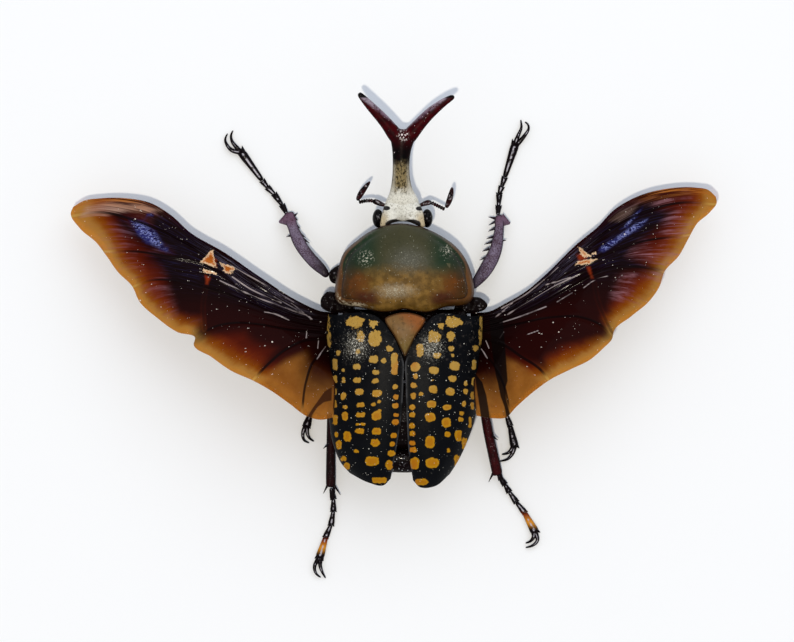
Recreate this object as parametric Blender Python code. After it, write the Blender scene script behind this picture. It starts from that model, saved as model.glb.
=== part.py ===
"""A male horned flower beetle, set as in a collection: wings out, wing cases a little apart.

Sizes are millimetres in the beetle's own frame: x to its right, y towards the horn,
z up from the floor, with x = 0 on its middle line and y = 0 just in front of the middle
of the body. The last step scales everything to metres and hangs it on an empty that puts
the box's centre over the origin.
"""
from math import cos, hypot, pi, sin, sqrt

import bmesh
import bpy
import numpy as np
from mathutils import Matrix

MM = 0.001
BOX_SHIFT = (1.36, 0.14, 0.0)   # the wings' span isn't centred on the body's middle line

CASE_RIM = 7.35                 # height of the wing cases' outer edge over the floor
CASE_RISE = 5.3                 # how far they arch above that edge
CASE_THICKNESS = 0.6
SHIELD_LOW = 5.9                # flat underside of the thorax shield
SHIELD_CROWN = 12.2
MEMBRANE = 0.5                  # thickness of a hind wing
RIDGE_HALF_WIDTH = 0.24         # of a wing vein
RIDGE_HEIGHT = 0.28
FORE_RIDGE_HEIGHT = 0.42        # of the two stout veins at the front edge
FOOT_HALF_THICKNESS = 0.3       # of the foot joints, which lie on the floor
SHARP = 0.7                     # edges that bend by more than this stay sharp, in radians

# colour and roughness of each part, found by the beginning of its name
FINISHES = {
    "head": ((0.55, 0.52, 0.45), 0.5),
    "horn_stem": ((0.3, 0.25, 0.18), 0.4),
    "horn_prong": ((0.05, 0.008, 0.01), 0.25),
    "eye": ((0.01, 0.01, 0.012), 0.1),
    "antenna": ((0.02, 0.015, 0.015), 0.35),
    "pronotum": ((0.07, 0.055, 0.03), 0.35),
    "scutellum": ((0.2, 0.1, 0.045), 0.4),
    "elytron": ((0.02, 0.02, 0.025), 0.35),
    "hindwing": ((0.12, 0.03, 0.01), 0.3),
    "tibia": ((0.05, 0.028, 0.028), 0.4),
    "tarsus": ((0.03, 0.015, 0.012), 0.4),
    "": ((0.015, 0.012, 0.012), 0.25),
}


def clear_scene():
    """Takes away everything the scene starts with."""
    for thing in list(bpy.data.objects):
        bpy.data.objects.remove(thing, do_unlink=True)


def make_solid(name, verts, faces):
    """Makes one closed solid with its faces turned outwards."""
    mesh = bpy.data.meshes.new(name)
    mesh.from_pydata([tuple(v) for v in verts], [], faces)
    shape = bmesh.new()
    shape.from_mesh(mesh)
    bmesh.ops.recalc_face_normals(shape, faces=shape.faces)
    shape.to_mesh(mesh)
    shape.free()
    thing = bpy.data.objects.new(name, mesh)
    bpy.context.scene.collection.objects.link(thing)
    return thing


def skin(name, rings):
    """Joins rings of points one to the next and closes both ends with a fan."""
    count = len(rings[0])
    verts = [tuple(point) for ring in rings for point in ring]
    faces = []
    for row in range(len(rings) - 1):
        here = row * count
        there = here + count
        for i in range(count):
            j = (i + 1) % count
            faces.append((here + i, here + j, there + j, there + i))
    for row in (0, len(rings) - 1):
        verts.append(tuple(np.mean(rings[row], axis=0)))
        for i in range(count):
            faces.append((row * count + i, row * count + (i + 1) % count, len(verts) - 1))
    return make_solid(name, verts, faces)


def bar(name, stations, sides=10):
    """A bar lofted through stations: two side edges in plan, height and half thickness."""
    reach = 1.0 / cos(pi / sides)
    rings = []
    for xa, ya, xb, yb, z, half in stations:
        ring = []
        for k in range(sides):
            angle = 2.0 * pi * (k + 0.5) / sides
            across = 0.5 * reach * cos(angle)
            ring.append(((xa + xb) / 2 + (xb - xa) * across,
                         (ya + yb) / 2 + (yb - ya) * across,
                         z + half * reach * sin(angle)))
        rings.append(ring)
    return skin(name, rings)


def tube(name, path, sides=8):
    """A bar along a path of x, y, z, half width and half thickness."""
    stations = []
    for i, (x, y, z, half, thick) in enumerate(path):
        ahead = path[min(i + 1, len(path) - 1)]
        behind = path[max(i - 1, 0)]
        dx = ahead[0] - behind[0]
        dy = ahead[1] - behind[1]
        length = hypot(dx, dy)
        nx = -dy / length * half
        ny = dx / length * half
        stations.append((x - nx, y - ny, x + nx, y + ny, z, thick))
    return bar(name, stations, sides)


def bend(start, end, leave, arrive, t):
    """A point on the smooth curve from start to end; leave and arrive are its slopes there."""
    return (start * (1 + 2 * t) * (1 - t) ** 2 + end * t * t * (3 - 2 * t)
            + leave * t * (1 - t) ** 2 - arrive * t * t * (1 - t))


def along(points, count):
    """Spreads count points evenly along a smooth open curve through the given points."""
    given = np.array(points, dtype=float)
    place = np.concatenate([[0.0], np.cumsum(np.hypot(*np.diff(given, axis=0).T))])
    slopes = np.gradient(given, place, axis=0)
    wanted = np.linspace(0.0, place[-1], count)
    index = np.clip(np.searchsorted(place, wanted, side="right") - 1, 0, len(given) - 2)
    span = (place[index + 1] - place[index])[:, None]
    t = (wanted - place[index])[:, None] / span
    return bend(given[index], given[index + 1], span * slopes[index], span * slopes[index + 1], t)


def around(points, count):
    """Spreads count points evenly round a smooth closed curve through the given points."""
    given = np.array(points, dtype=float)
    ahead = np.roll(given, -1, axis=0)
    spans = np.hypot(*(ahead - given).T)
    slopes = (ahead - np.roll(given, 1, axis=0)) / (spans + np.roll(spans, 1))[:, None]
    loop = []
    for i in range(len(given)):
        j = (i + 1) % len(given)
        for t in np.linspace(0.0, 1.0, 12, endpoint=False):
            loop.append(bend(given[i], given[j], slopes[i] * spans[i], slopes[j] * spans[i], t))
    loop = np.array(loop + loop[:1])
    place = np.concatenate([[0.0], np.cumsum(np.hypot(*np.diff(loop, axis=0).T))])
    wanted = np.linspace(0.0, place[-1], count, endpoint=False)
    return np.column_stack([np.interp(wanted, place, loop[:, 0]),
                            np.interp(wanted, place, loop[:, 1])])


def dome(name, outline, low, high, drop, rise, rings=5, count=32, power=2.2):
    """A plate with an outline in plan, arched up by rise and down by drop.

    low and high are the heights of its edge, numbers or functions of x and y.
    """
    edge = around(outline, count)
    middle = edge.mean(axis=0)
    lows = np.array([low(x, y) if callable(low) else low for x, y in edge])
    highs = np.array([high(x, y) if callable(high) else high for x, y in edge])
    spread = [sin(pi / 2 * k / rings) for k in range(1, rings + 1)]
    levels = []
    for t in spread:
        flat = middle + (edge - middle) * t
        bulge = sqrt(max(0.0, 1.0 - t ** power))
        depth = lows.mean() - drop
        levels.append(np.column_stack([flat, lows + (depth - lows) * bulge]))
    for t in reversed(spread):
        flat = middle + (edge - middle) * t
        bulge = sqrt(max(0.0, 1.0 - t ** power))
        crown = highs.mean() + rise
        levels.append(np.column_stack([flat, highs + (crown - highs) * bulge]))
    return skin(name, levels)


def sheet(name, top, under):
    """Closes two grids of points, an upper and a lower face, into one thin solid.

    Both faces are cut into triangles along the same diagonals.
    """
    rows, columns = top.shape[:2]
    size = rows * columns
    verts = list(top.reshape(size, 3)) + list(under.reshape(size, 3))
    faces = []
    for i in range(rows - 1):
        for j in range(columns - 1):
            a = i * columns + j
            b = a + 1
            c = a + columns + 1
            d = a + columns
            faces += [(a, b, c), (a, c, d)]
            faces += [(c + size, b + size, a + size), (d + size, c + size, a + size)]
    rim = [j for j in range(columns)]
    rim += [i * columns + columns - 1 for i in range(1, rows)]
    rim += [(rows - 1) * columns + j for j in range(columns - 2, -1, -1)]
    rim += [i * columns for i in range(rows - 2, 0, -1)]
    for k, a in enumerate(rim):
        b = rim[(k + 1) % len(rim)]
        faces += [(a, a + size, b + size), (a, b + size, b)]
    return make_solid(name, verts, faces)


def spike(name, root, tip, radius):
    """A five-sided thorn from a root point to a tip."""
    root = np.array(root)
    aim = np.array(tip) - root
    aim = aim / np.linalg.norm(aim)
    side = np.cross(aim, (0.0, 0.0, 1.0))
    side = side / np.linalg.norm(side)
    other = np.cross(aim, side)
    verts = []
    for k in range(5):
        angle = 2.0 * pi * k / 5
        verts.append(root + radius * (side * cos(angle) + other * sin(angle)))
    verts.append(np.array(tip))
    faces = [(4, 3, 2, 1, 0)]
    faces += [(k, (k + 1) % 5, 5) for k in range(5)]
    return make_solid(name, verts, faces)


def keep_largest(thing):
    """Drops all loose pieces of a mesh but the one with most faces."""
    shape = bmesh.new()
    shape.from_mesh(thing.data)
    waiting = set(shape.verts)
    groups = []
    while waiting:
        group = [waiting.pop()]
        for vert in group:
            for edge in vert.link_edges:
                other = edge.other_vert(vert)
                if other in waiting:
                    waiting.discard(other)
                    group.append(other)
        groups.append(group)
    groups.sort(key=len)
    for group in groups[:-1]:
        bmesh.ops.delete(shape, geom=group, context="VERTS")
    shape.to_mesh(thing.data)
    shape.free()


def fuse(name, pieces):
    """Joins overlapping closed pieces into one closed solid."""
    body = pieces[0]
    group = bpy.data.collections.new(name + "_pieces")
    bpy.context.scene.collection.children.link(group)
    for piece in pieces[1:]:
        bpy.context.scene.collection.objects.unlink(piece)
        group.objects.link(piece)
    union = body.modifiers.new("union", "BOOLEAN")
    union.operation = "UNION"
    union.operand_type = "COLLECTION"
    union.collection = group
    union.solver = "EXACT"
    bpy.context.view_layer.objects.active = body
    bpy.ops.object.modifier_apply(modifier="union")
    for piece in pieces[1:]:
        bpy.data.objects.remove(piece, do_unlink=True)
    bpy.data.collections.remove(group)
    keep_largest(body)
    body.name = name
    body.data.name = name
    return body


# Head and horn. The head stands a little to the left of the body's middle line.

HEAD_OUTLINE = [(-2.5, 14.85), (-0.3, 15.0), (1.9, 14.85), (2.05, 15.8), (1.75, 17.1),
                (-0.3, 17.45), (-2.3, 17.1), (-2.65, 15.8)]
HORN_STEM = [(-2.5, 17.85, 1.75, 17.85, 6.9, 1.3), (-2.0, 18.7, 1.1, 18.7, 7.1, 1.15),
             (-1.65, 20.3, 0.75, 20.3, 7.4, 1.0), (-1.5, 22.9, 0.6, 22.9, 7.8, 0.9),
             (-1.65, 24.6, 0.85, 24.6, 8.1, 0.9), (-2.0, 25.9, 1.5, 25.9, 8.3, 0.85),
             (-2.45, 26.75, 2.15, 26.75, 8.5, 0.75)]
PRONG_LEFT = [(-2.6, 27.05, -0.35, 27.05, 8.55, 0.7), (-3.15, 27.5, -1.25, 27.75, 8.7, 0.65),
              (-4.05, 28.45, -2.65, 28.9, 9.0, 0.55), (-5.2, 29.9, -4.2, 30.25, 9.4, 0.45),
              (-5.95, 31.05, -5.45, 31.3, 9.8, 0.3)]
PRONG_RIGHT = [(-0.05, 27.05, 2.35, 27.05, 8.55, 0.7), (1.0, 27.75, 2.9, 27.4, 8.7, 0.65),
               (2.35, 29.0, 3.75, 28.2, 9.0, 0.55), (4.3, 30.2, 5.1, 29.45, 9.4, 0.45),
               (6.0, 31.05, 6.4, 30.7, 9.8, 0.3)]
EYE_HALF = (0.6, 1.1, 1.0)
EYES = {"l": (-3.5, 15.3, 6.3), "r": (2.95, 15.3, 6.3)}
ANTENNAE = {
    "l": [(-3.0, 17.05, 5.7, 0.3, 0.3), (-3.6, 17.4, 5.7, 0.34, 0.32), (-4.5, 17.6, 5.7, 0.28, 0.28),
          (-5.2, 17.55, 5.6, 0.26, 0.26), (-5.9, 17.4, 5.5, 0.32, 0.3)],
    "r": [(2.5, 17.05, 5.7, 0.3, 0.3), (3.0, 17.35, 5.7, 0.34, 0.32), (3.8, 17.2, 5.7, 0.28, 0.28),
          (4.5, 16.8, 5.6, 0.26, 0.26), (5.15, 16.45, 5.5, 0.32, 0.3)],
}
CLUBS = {
    "l": [(-6.1, 17.85, 5.6, 0.26, 0.3), (-5.8, 18.4, 5.9, 0.36, 0.5), (-5.2, 19.2, 6.2, 0.38, 0.55),
          (-4.5, 20.05, 6.5, 0.3, 0.35)],
    "r": [(5.45, 16.9, 5.6, 0.26, 0.3), (5.65, 17.5, 5.9, 0.36, 0.5), (5.95, 18.5, 6.2, 0.38, 0.55),
          (6.2, 19.4, 6.5, 0.3, 0.35)],
}
MOUTH_OUTLINE = [(-1.9, 15.4), (-0.3, 15.2), (1.3, 15.4), (1.4, 16.8), (0.6, 17.8), (-0.3, 17.6),
                 (-1.2, 17.8), (-2.0, 16.8)]


def build_head():
    dome("head", HEAD_OUTLINE, 5.8, 6.9, 0.9, 0.9)
    bar("horn_stem", HORN_STEM, 14)
    bar("horn_prong_l", PRONG_LEFT, 12)
    bar("horn_prong_r", PRONG_RIGHT, 12)
    for side, (x, y, z) in EYES.items():
        wide, long, tall = EYE_HALF
        levels = []
        for k in range(1, 8):
            turn = pi * k / 8
            ring = []
            for m in range(14):
                angle = 2.0 * pi * m / 14
                ring.append((x + wide * sin(turn) * cos(angle), y + long * sin(turn) * sin(angle),
                             z - tall * cos(turn)))
            levels.append(ring)
        skin("eye_" + side, levels)
        tube("antenna_" + side, ANTENNAE[side])
        tube("antenna_club_" + side, CLUBS[side])
    pieces = [dome("mouthparts", MOUTH_OUTLINE, 3.9, 4.3, 0.2, 0.3, 3, 16)]
    for x in (-1.4, 0.8):
        pieces.append(tube("palp", [(x, 16.6, 3.9, 0.26, 0.26), (x * 1.1, 17.6, 3.8, 0.3, 0.3),
                                    (x * 1.1, 18.4, 3.6, 0.25, 0.25)], 6))
    fuse("mouthparts", pieces)


# Thorax shield, its underside, the little shield behind it and the shoulder bumps.

SHIELD_OUTLINE = [(-0.1, 14.6), (-1.9, 14.5), (-4.1, 13.8), (-6.2, 12.4), (-7.9, 10.8), (-8.6, 8.8),
                  (-9.0, 6.6), (-9.0, 4.9), (-8.3, 4.1), (-5.8, 3.7), (-3.2, 3.15), (-1.6, 3.2),
                  (-0.1, 3.5), (1.5, 3.2), (3.1, 3.1), (5.3, 3.75), (8.1, 4.1), (9.0, 5.2),
                  (8.9, 7.3), (8.0, 9.9), (6.6, 11.7), (4.6, 13.1), (2.4, 14.1)]
PROSTERNUM_OUTLINE = [(0.0, 13.2), (-3.4, 12.6), (-5.4, 10.6), (-6.2, 7.6), (-5.6, 4.4), (-3.0, 3.6),
                      (0.0, 3.6), (3.0, 3.6), (5.6, 4.4), (6.2, 7.6), (5.4, 10.6), (3.4, 12.6)]
SCUTELLUM_OUTLINE = [(-2.35, 2.1), (-1.5, 2.7), (0.0, 2.95), (1.6, 2.7), (2.5, 2.05), (1.3, -0.1),
                     (0.35, -2.0), (0.05, -2.4), (-0.25, -2.0), (-1.2, 0.0)]
SHOULDERS = {
    "l": [(-9.35, 5.6), (-9.9, 5.75), (-10.5, 5.35), (-10.85, 4.7), (-10.75, 3.8), (-10.0, 3.35),
          (-9.4, 3.4), (-9.4, 4.6)],
    "r": [(8.95, 4.65), (9.6, 5.0), (10.3, 4.6), (10.75, 4.05), (10.45, 3.6), (9.8, 3.3),
          (9.1, 3.25), (8.75, 3.65)],
}


def shield_edge(x, y):
    """Height of the shield's edge: low at the sides, high where it meets the wing cases."""
    inward = max(0.0, 1.0 - (x / 9.0) ** 2)
    if y < 5.0:
        return 6.4 + 4.6 * inward ** 0.7
    if y > 11.0:
        return 6.4 + 1.2 * inward
    return 6.4


def build_thorax():
    dome("pronotum", SHIELD_OUTLINE, SHIELD_LOW, shield_edge, 0.0, SHIELD_CROWN - 7.4, 7, 48, 2.4)
    dome("prosternum", PROSTERNUM_OUTLINE, 4.9, 5.6, 1.6, 0.0)
    dome("scutellum", SCUTELLUM_OUTLINE, 11.5, 12.1, 0.0, 0.35, 3, 24)
    for side, outline in SHOULDERS.items():
        dome("mesepimeron_" + side, outline, 4.6, 6.4, 0.2, 0.9, 4, 18)
    metathorax = [(0.0, 2.75), (-4.5, 2.55), (-7.6, 2.2), (-8.15, 0.6), (-8.2, -2.5), (-7.9, -5.2),
                  (-4.5, -5.8), (0.0, -5.8), (4.5, -5.8), (7.9, -5.2), (8.2, -2.5), (8.15, 0.6),
                  (7.6, 2.2), (4.5, 2.55)]
    dome("metasternum", metathorax, 4.4, 7.6, 1.3, 3.1)
    tube("sternal_keel", [(0.0, 3.2, 2.3, 0.5, 0.45), (0.0, 1.6, 2.1, 0.8, 0.65),
                          (0.0, -1.5, 2.05, 0.85, 0.7), (0.0, -3.6, 2.1, 0.6, 0.6)])


ABDOMEN_OUTLINE = [(0.0, -6.1), (-5.0, -6.1), (-7.7, -6.5), (-8.1, -8.6), (-7.8, -11.4),
                   (-6.8, -13.9), (-3.5, -14.5), (0.0, -14.6), (3.5, -14.5), (6.7, -13.9),
                   (7.7, -11.4), (8.0, -8.6), (7.6, -6.5), (5.0, -6.1)]
PYGIDIUM_OUTLINE = [(0.0, -14.95), (-3.5, -14.85), (-6.2, -14.5), (-5.2, -16.2), (-3.0, -17.4),
                    (0.0, -17.75), (2.8, -17.4), (4.9, -16.2), (6.1, -14.5), (3.5, -14.85)]


def build_abdomen():
    dome("abdomen", ABDOMEN_OUTLINE, 5.2, 7.2, 3.3, 3.4, 6, 36)
    dome("pygidium", PYGIDIUM_OUTLINE, 4.6, 7.2, 1.6, 1.7, 4, 28)


# Wing cases. Each is a four-sided patch: base, inner edge, tip and outer edge.

CASES = {
    "l": {"base": [(-2.7, 1.75), (-3.5, 2.45), (-5.0, 3.0), (-7.1, 2.95), (-8.4, 2.75), (-9.9, 2.8)],
          "inner": [(-2.7, 1.75), (-1.5, 0.0), (-0.45, -2.3), (-0.15, -3.2), (-0.15, -5.7), (-0.3, -9.0),
                    (-1.1, -14.8), (-1.8, -18.5)],
          "tip": [(-1.8, -18.5), (-2.7, -19.35), (-4.7, -19.0), (-7.1, -17.8)],
          "outer": [(-9.9, 2.8), (-10.1, 0.1), (-9.65, -3.4), (-9.9, -7.0), (-9.8, -10.9), (-9.2, -14.3),
                    (-8.1, -16.7), (-7.1, -17.8)]},
    "r": {"base": [(2.85, 1.75), (3.6, 2.5), (5.3, 3.0), (7.0, 2.75), (9.0, 2.55), (10.1, 2.65)],
          "inner": [(2.85, 1.75), (1.6, -0.1), (0.5, -2.3), (0.15, -3.2), (0.15, -5.7), (0.3, -10.9),
                    (0.6, -15.5), (1.1, -18.7)],
          "tip": [(1.1, -18.7), (1.9, -19.55), (3.9, -19.5), (5.9, -17.9)],
          "outer": [(10.1, 2.65), (10.1, 0.1), (9.6, -3.4), (9.6, -7.0), (9.2, -10.5), (8.1, -13.8),
                    (6.8, -16.5), (5.9, -17.9)]},
}
CASE_ROWS = 22
CASE_COLUMNS = 13


def case_height(s, t):
    """Arch of a wing case; s runs from base to tip, t from inner to outer edge."""
    back = max(0.0, (s - 0.35) / 0.65)
    length_wise = sqrt(1.0 - 0.93 * back ** 2.8) * (0.93 + 0.07 * min(1.0, s / 0.12))
    cross_wise = (1.0 - t ** 2.3) ** 0.55
    return CASE_RIM + CASE_RISE * length_wise * cross_wise


def build_case(side, edges):
    base = along(edges["base"], CASE_COLUMNS)
    tip = along(edges["tip"], CASE_COLUMNS)
    inner = along(edges["inner"], CASE_ROWS)
    outer = along(edges["outer"], CASE_ROWS)
    top = np.zeros((CASE_ROWS, CASE_COLUMNS, 3))
    for i in range(CASE_ROWS):
        s = i / (CASE_ROWS - 1)
        for j in range(CASE_COLUMNS):
            t = j / (CASE_COLUMNS - 1)
            ruled = (1 - t) * inner[i] + t * outer[i] + (1 - s) * base[j] + s * tip[j]
            corners = ((1 - s) * ((1 - t) * base[0] + t * base[-1])
                       + s * ((1 - t) * tip[0] + t * tip[-1]))
            top[i, j, :2] = ruled - corners
            top[i, j, 2] = case_height(s, t)
    down_rows = np.gradient(top, axis=0)
    down_columns = np.gradient(top, axis=1)
    normal = np.cross(down_rows, down_columns)
    normal /= np.linalg.norm(normal, axis=2)[:, :, None]
    normal *= np.sign(normal[:, :, 2:3] + 1e-9)
    sheet("elytron_" + side, top, top - CASE_THICKNESS * normal)


# Hind wings. Each vein runs from the root to the margin; the membrane is spread between
# them. The margin runs on from the tip of the first vein to the end of the last.

WINGS = {
    "l": {"veins": [[(-8.6, 3.0), (-10.7, 3.15), (-13.6, 4.4), (-18.8, 7.7), (-23.3, 10.8),
                     (-27.9, 13.5), (-30.5, 15.8), (-33.1, 17.3), (-36.3, 17.9), (-39.6, 17.9),
                     (-41.7, 17.6), (-43.1, 16.8)],
                    [(-8.6, 2.3), (-13.6, 3.2), (-17.5, 5.2), (-21.4, 7.7), (-25.0, 10.1),
                     (-29.2, 12.5), (-34.4, 14.8), (-39.6, 16.1), (-43.2, 15.6)],
                    [(-8.6, 1.7), (-14.9, 3.0), (-20.1, 5.3), (-24.0, 8.3), (-26.6, 9.6),
                     (-30.5, 10.4), (-34.4, 11.1), (-38.8, 11.2)],
                    [(-8.6, 1.0), (-14.9, 2.2), (-19.4, 4.0), (-23.3, 5.5), (-26.6, 6.5),
                     (-30.5, 7.3), (-33.1, 7.2), (-35.2, 6.4)],
                    [(-8.6, 0.4), (-14.9, 0.8), (-18.8, 1.5), (-22.0, 1.7), (-24.6, 1.2), (-27.1, -0.3)],
                    [(-8.6, -0.3), (-13.6, -0.8), (-15.5, -1.8), (-17.5, -3.5), (-19.6, -5.7)],
                    [(-8.6, -0.9), (-11.9, -3.4), (-12.8, -6.0), (-13.3, -10.0)],
                    [(-8.6, -1.7), (-8.9, -4.4), (-9.0, -7.7), (-9.2, -10.5)]],
          "margin": [(-43.1, 16.8), (-43.4, 16.0), (-42.2, 14.0), (-40.0, 12.1), (-38.7, 10.4),
                     (-37.2, 8.3), (-35.3, 6.4), (-34.4, 4.5), (-32.0, 2.3), (-29.4, 0.5),
                     (-27.1, -0.3), (-27.3, -1.0), (-25.0, -2.7), (-22.4, -4.5), (-19.7, -5.7),
                     (-17.5, -6.9), (-14.9, -8.7), (-12.5, -10.4), (-10.8, -10.8), (-9.2, -10.5)]},
    "r": {"veins": [[(8.6, 3.0), (10.9, 3.1), (13.1, 4.2), (15.7, 5.7), (18.3, 7.9), (22.6, 12.1),
                     (24.8, 13.9), (27.4, 16.5), (31.3, 18.5), (33.9, 19.1), (37.8, 19.3),
                     (39.5, 19.0), (40.5, 18.1)],
                    [(8.6, 2.3), (13.0, 3.3), (17.0, 5.9), (20.2, 8.9), (23.4, 11.4), (26.4, 13.6),
                     (31.0, 16.0), (36.0, 17.3), (40.55, 17.1)],
                    [(8.6, 1.7), (13.7, 3.4), (18.3, 6.2), (22.0, 8.8), (25.4, 10.3), (30.6, 12.2),
                     (37.1, 13.1)],
                    [(8.6, 1.0), (13.7, 2.4), (18.5, 4.6), (22.0, 6.6), (26.0, 8.6), (30.0, 9.0),
                     (33.7, 8.3)],
                    [(8.6, 0.4), (14.0, 1.4), (19.0, 2.4), (23.0, 2.4), (25.5, 1.4), (27.1, 0.0)],
                    [(8.6, -0.3), (12.4, -0.9), (15.0, -2.6), (17.6, -4.4), (18.6, -5.7)],
                    [(8.6, -0.9), (11.4, -3.4), (12.9, -6.4), (13.7, -10.0)],
                    [(8.6, -1.7), (8.9, -4.4), (9.0, -7.7), (9.3, -10.3)]],
          "margin": [(40.5, 18.1), (40.6, 17.4), (39.7, 16.1), (38.0, 14.6), (36.9, 12.7), (35.6, 10.4),
                     (33.7, 8.3), (33.1, 6.5), (31.7, 4.5), (29.3, 2.5), (27.1, 0.6), (26.9, -0.3),
                     (25.7, -1.6), (24.1, -3.0), (21.5, -4.3), (18.9, -5.6), (16.3, -7.5),
                     (14.4, -9.2), (13.1, -10.5), (11.1, -10.6), (9.3, -10.3)]},
}
WING_STATIONS = 17


def wing_level(x, y):
    """Height of the membrane's middle: nearly level, a little raised half way out."""
    out = (abs(x) - 8.6) / 34.0
    return 6.2 + 1.3 * sin(pi * min(1.0, max(0.0, out)) ** 0.8)


def build_wing(side, veins, margin):
    lines = [along(vein, WING_STATIONS) for vein in veins]
    edge = along(margin, 400)
    ends = [int(np.argmin(np.hypot(*(edge - line[-1]).T))) for line in lines]
    share = np.linspace(0.0, 1.0, WING_STATIONS)
    rays = []
    crests = []
    for k in range(len(lines) - 1):
        here, there = lines[k], lines[k + 1]
        distance = np.hypot(*(there - here).T)
        flank = np.minimum(0.3, RIDGE_HALF_WIDTH / np.maximum(distance, 1e-6))
        tall = FORE_RIDGE_HEIGHT if k < 2 else RIDGE_HEIGHT
        for part, crest in ((0.0 * flank, tall), (flank, 0.0), (0.5 + 0.0 * flank, 0.0),
                            (1.0 - flank, 0.0)):
            spot = ends[k] + (ends[k + 1] - ends[k]) * part[-1]
            target = edge[int(round(spot))]
            pull = target - (here[-1] + (there[-1] - here[-1]) * part[-1])
            ray = here + (there - here) * part[:, None] + pull * (share ** 3)[:, None]
            rays.append(ray)
            crests.append(crest)
    rays.append(lines[-1])
    crests.append(RIDGE_HEIGHT)
    top = np.zeros((len(rays), WING_STATIONS, 3))
    under = np.zeros_like(top)
    for i, (ray, crest) in enumerate(zip(rays, crests)):
        for j, (x, y) in enumerate(ray):
            level = wing_level(x, y)
            raised = crest * (1.0 - 0.8 * share[j] ** 2)
            top[i, j] = (x, y, level + MEMBRANE / 2 + raised)
            under[i, j] = (x, y, level - MEMBRANE / 2)
    sheet("hindwing_" + side, top, under)


# Legs. Paths give x, y, height, half width and half thickness.

COXAE = {
    "fore_l": [(-1.0, 7.9, 2.1, 0.75, 0.7), (-2.6, 7.9, 2.1, 1.2, 0.85), (-4.3, 8.0, 2.2, 0.9, 0.75)],
    "fore_r": [(1.0, 7.6, 2.1, 0.75, 0.7), (2.6, 7.6, 2.1, 1.2, 0.85), (4.3, 7.6, 2.2, 0.9, 0.75)],
    "mid_l": [(-1.3, 0.3, 2.0, 0.75, 0.7), (-2.7, 0.2, 2.0, 1.1, 0.8), (-4.2, 0.1, 2.1, 0.8, 0.7)],
    "mid_r": [(1.3, 0.3, 2.0, 0.75, 0.7), (2.7, 0.2, 2.0, 1.1, 0.8), (4.2, 0.1, 2.1, 0.8, 0.7)],
    "hind_l": [(-0.3, -4.8, 1.9, 0.8, 0.7), (-2.4, -4.8, 1.9, 1.0, 0.8), (-4.8, -4.9, 2.0, 0.8, 0.7)],
    "hind_r": [(0.3, -4.8, 1.9, 0.8, 0.7), (2.4, -4.8, 1.9, 1.0, 0.8), (4.8, -4.9, 2.0, 0.8, 0.7)],
}
FEMORA = {
    "fore_l": [(-4.65, 8.05, 2.3, 0.85, 0.65), (-6.5, 8.3, 2.7, 1.6, 0.85), (-8.4, 8.6, 3.2, 1.75, 0.9),
               (-9.3, 8.7, 3.4, 1.3, 0.75), (-9.6, 8.65, 3.5, 0.7, 0.5)],
    "fore_r": [(4.65, 7.6, 2.3, 0.85, 0.65), (6.2, 7.4, 2.7, 1.5, 0.85), (7.5, 7.1, 3.1, 1.6, 0.9),
               (8.1, 6.8, 3.3, 1.2, 0.75), (8.4, 6.7, 3.4, 0.7, 0.5)],
    "mid_l": [(-4.55, 0.1, 2.2, 0.75, 0.6), (-6.8, 0.1, 2.6, 1.15, 0.8), (-9.6, -0.1, 3.3, 1.15, 0.8),
              (-11.4, -0.3, 3.7, 0.75, 0.6)],
    "mid_r": [(4.55, 0.1, 2.2, 0.75, 0.6), (6.8, 0.5, 2.6, 1.15, 0.8), (9.4, 1.1, 3.3, 1.15, 0.8),
              (11.0, 1.5, 3.7, 0.75, 0.6)],
    "hind_l": [(-5.15, -5.0, 1.9, 0.75, 0.6), (-6.7, -6.3, 2.2, 1.2, 0.75), (-8.5, -7.9, 2.8, 1.15, 0.75),
               (-9.4, -8.8, 3.1, 0.7, 0.55)],
    "hind_r": [(5.15, -5.0, 1.9, 0.75, 0.6), (6.8, -5.8, 2.2, 1.15, 0.75), (8.7, -6.7, 2.8, 1.1, 0.75),
               (9.7, -7.2, 3.1, 0.7, 0.55)],
}
TIBIAE = {
    "fore_l": [(-10.35, 7.75, -9.95, 8.55, 3.4, 0.4), (-11.2, 8.3, -10.6, 9.5, 3.3, 0.5),
               (-13.3, 10.1, -12.0, 11.3, 2.8, 0.5), (-14.6, 11.8, -13.2, 12.9, 2.3, 0.5),
               (-15.4, 14.2, -14.1, 14.7, 1.7, 0.45), (-15.8, 15.6, -14.8, 15.9, 1.3, 0.4)],
    "fore_r": [(9.1, 5.95, 8.8, 7.0, 3.3, 0.4), (11.0, 7.5, 9.95, 8.9, 3.1, 0.5),
               (12.4, 9.8, 11.1, 10.8, 2.7, 0.5), (12.9, 12.1, 11.6, 12.5, 2.2, 0.5),
               (12.8, 14.2, 11.9, 14.3, 1.7, 0.45), (12.6, 15.6, 11.7, 15.6, 1.3, 0.4)],
    "mid_l": [(-11.6, -0.75, -12.3, -1.35, 3.7, 0.5), (-11.0, -3.0, -12.2, -3.4, 3.1, 0.55),
              (-10.1, -6.2, -11.4, -6.6, 1.8, 0.5), (-9.7, -7.0, -10.9, -7.5, 1.4, 0.45)],
    "mid_r": [(11.3, 0.95, 12.5, 1.1, 3.7, 0.5), (11.5, -1.5, 12.7, -1.4, 3.1, 0.55),
              (11.7, -4.4, 13.1, -4.3, 1.8, 0.5), (11.7, -5.5, 13.1, -5.4, 1.4, 0.45)],
    "hind_l": [(-9.1, -9.15, -10.1, -9.35, 3.1, 0.5), (-9.05, -12.0, -10.15, -12.0, 2.6, 0.6),
               (-9.0, -16.5, -10.25, -16.5, 1.7, 0.6), (-8.95, -19.6, -10.3, -19.6, 1.2, 0.5)],
    "hind_r": [(9.8, -7.65, 10.65, -7.35, 3.1, 0.5), (9.9, -11.0, 11.2, -10.7, 2.6, 0.6),
               (10.9, -15.5, 12.2, -15.2, 1.7, 0.6), (11.4, -18.1, 12.85, -17.8, 1.2, 0.5)],
}
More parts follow.
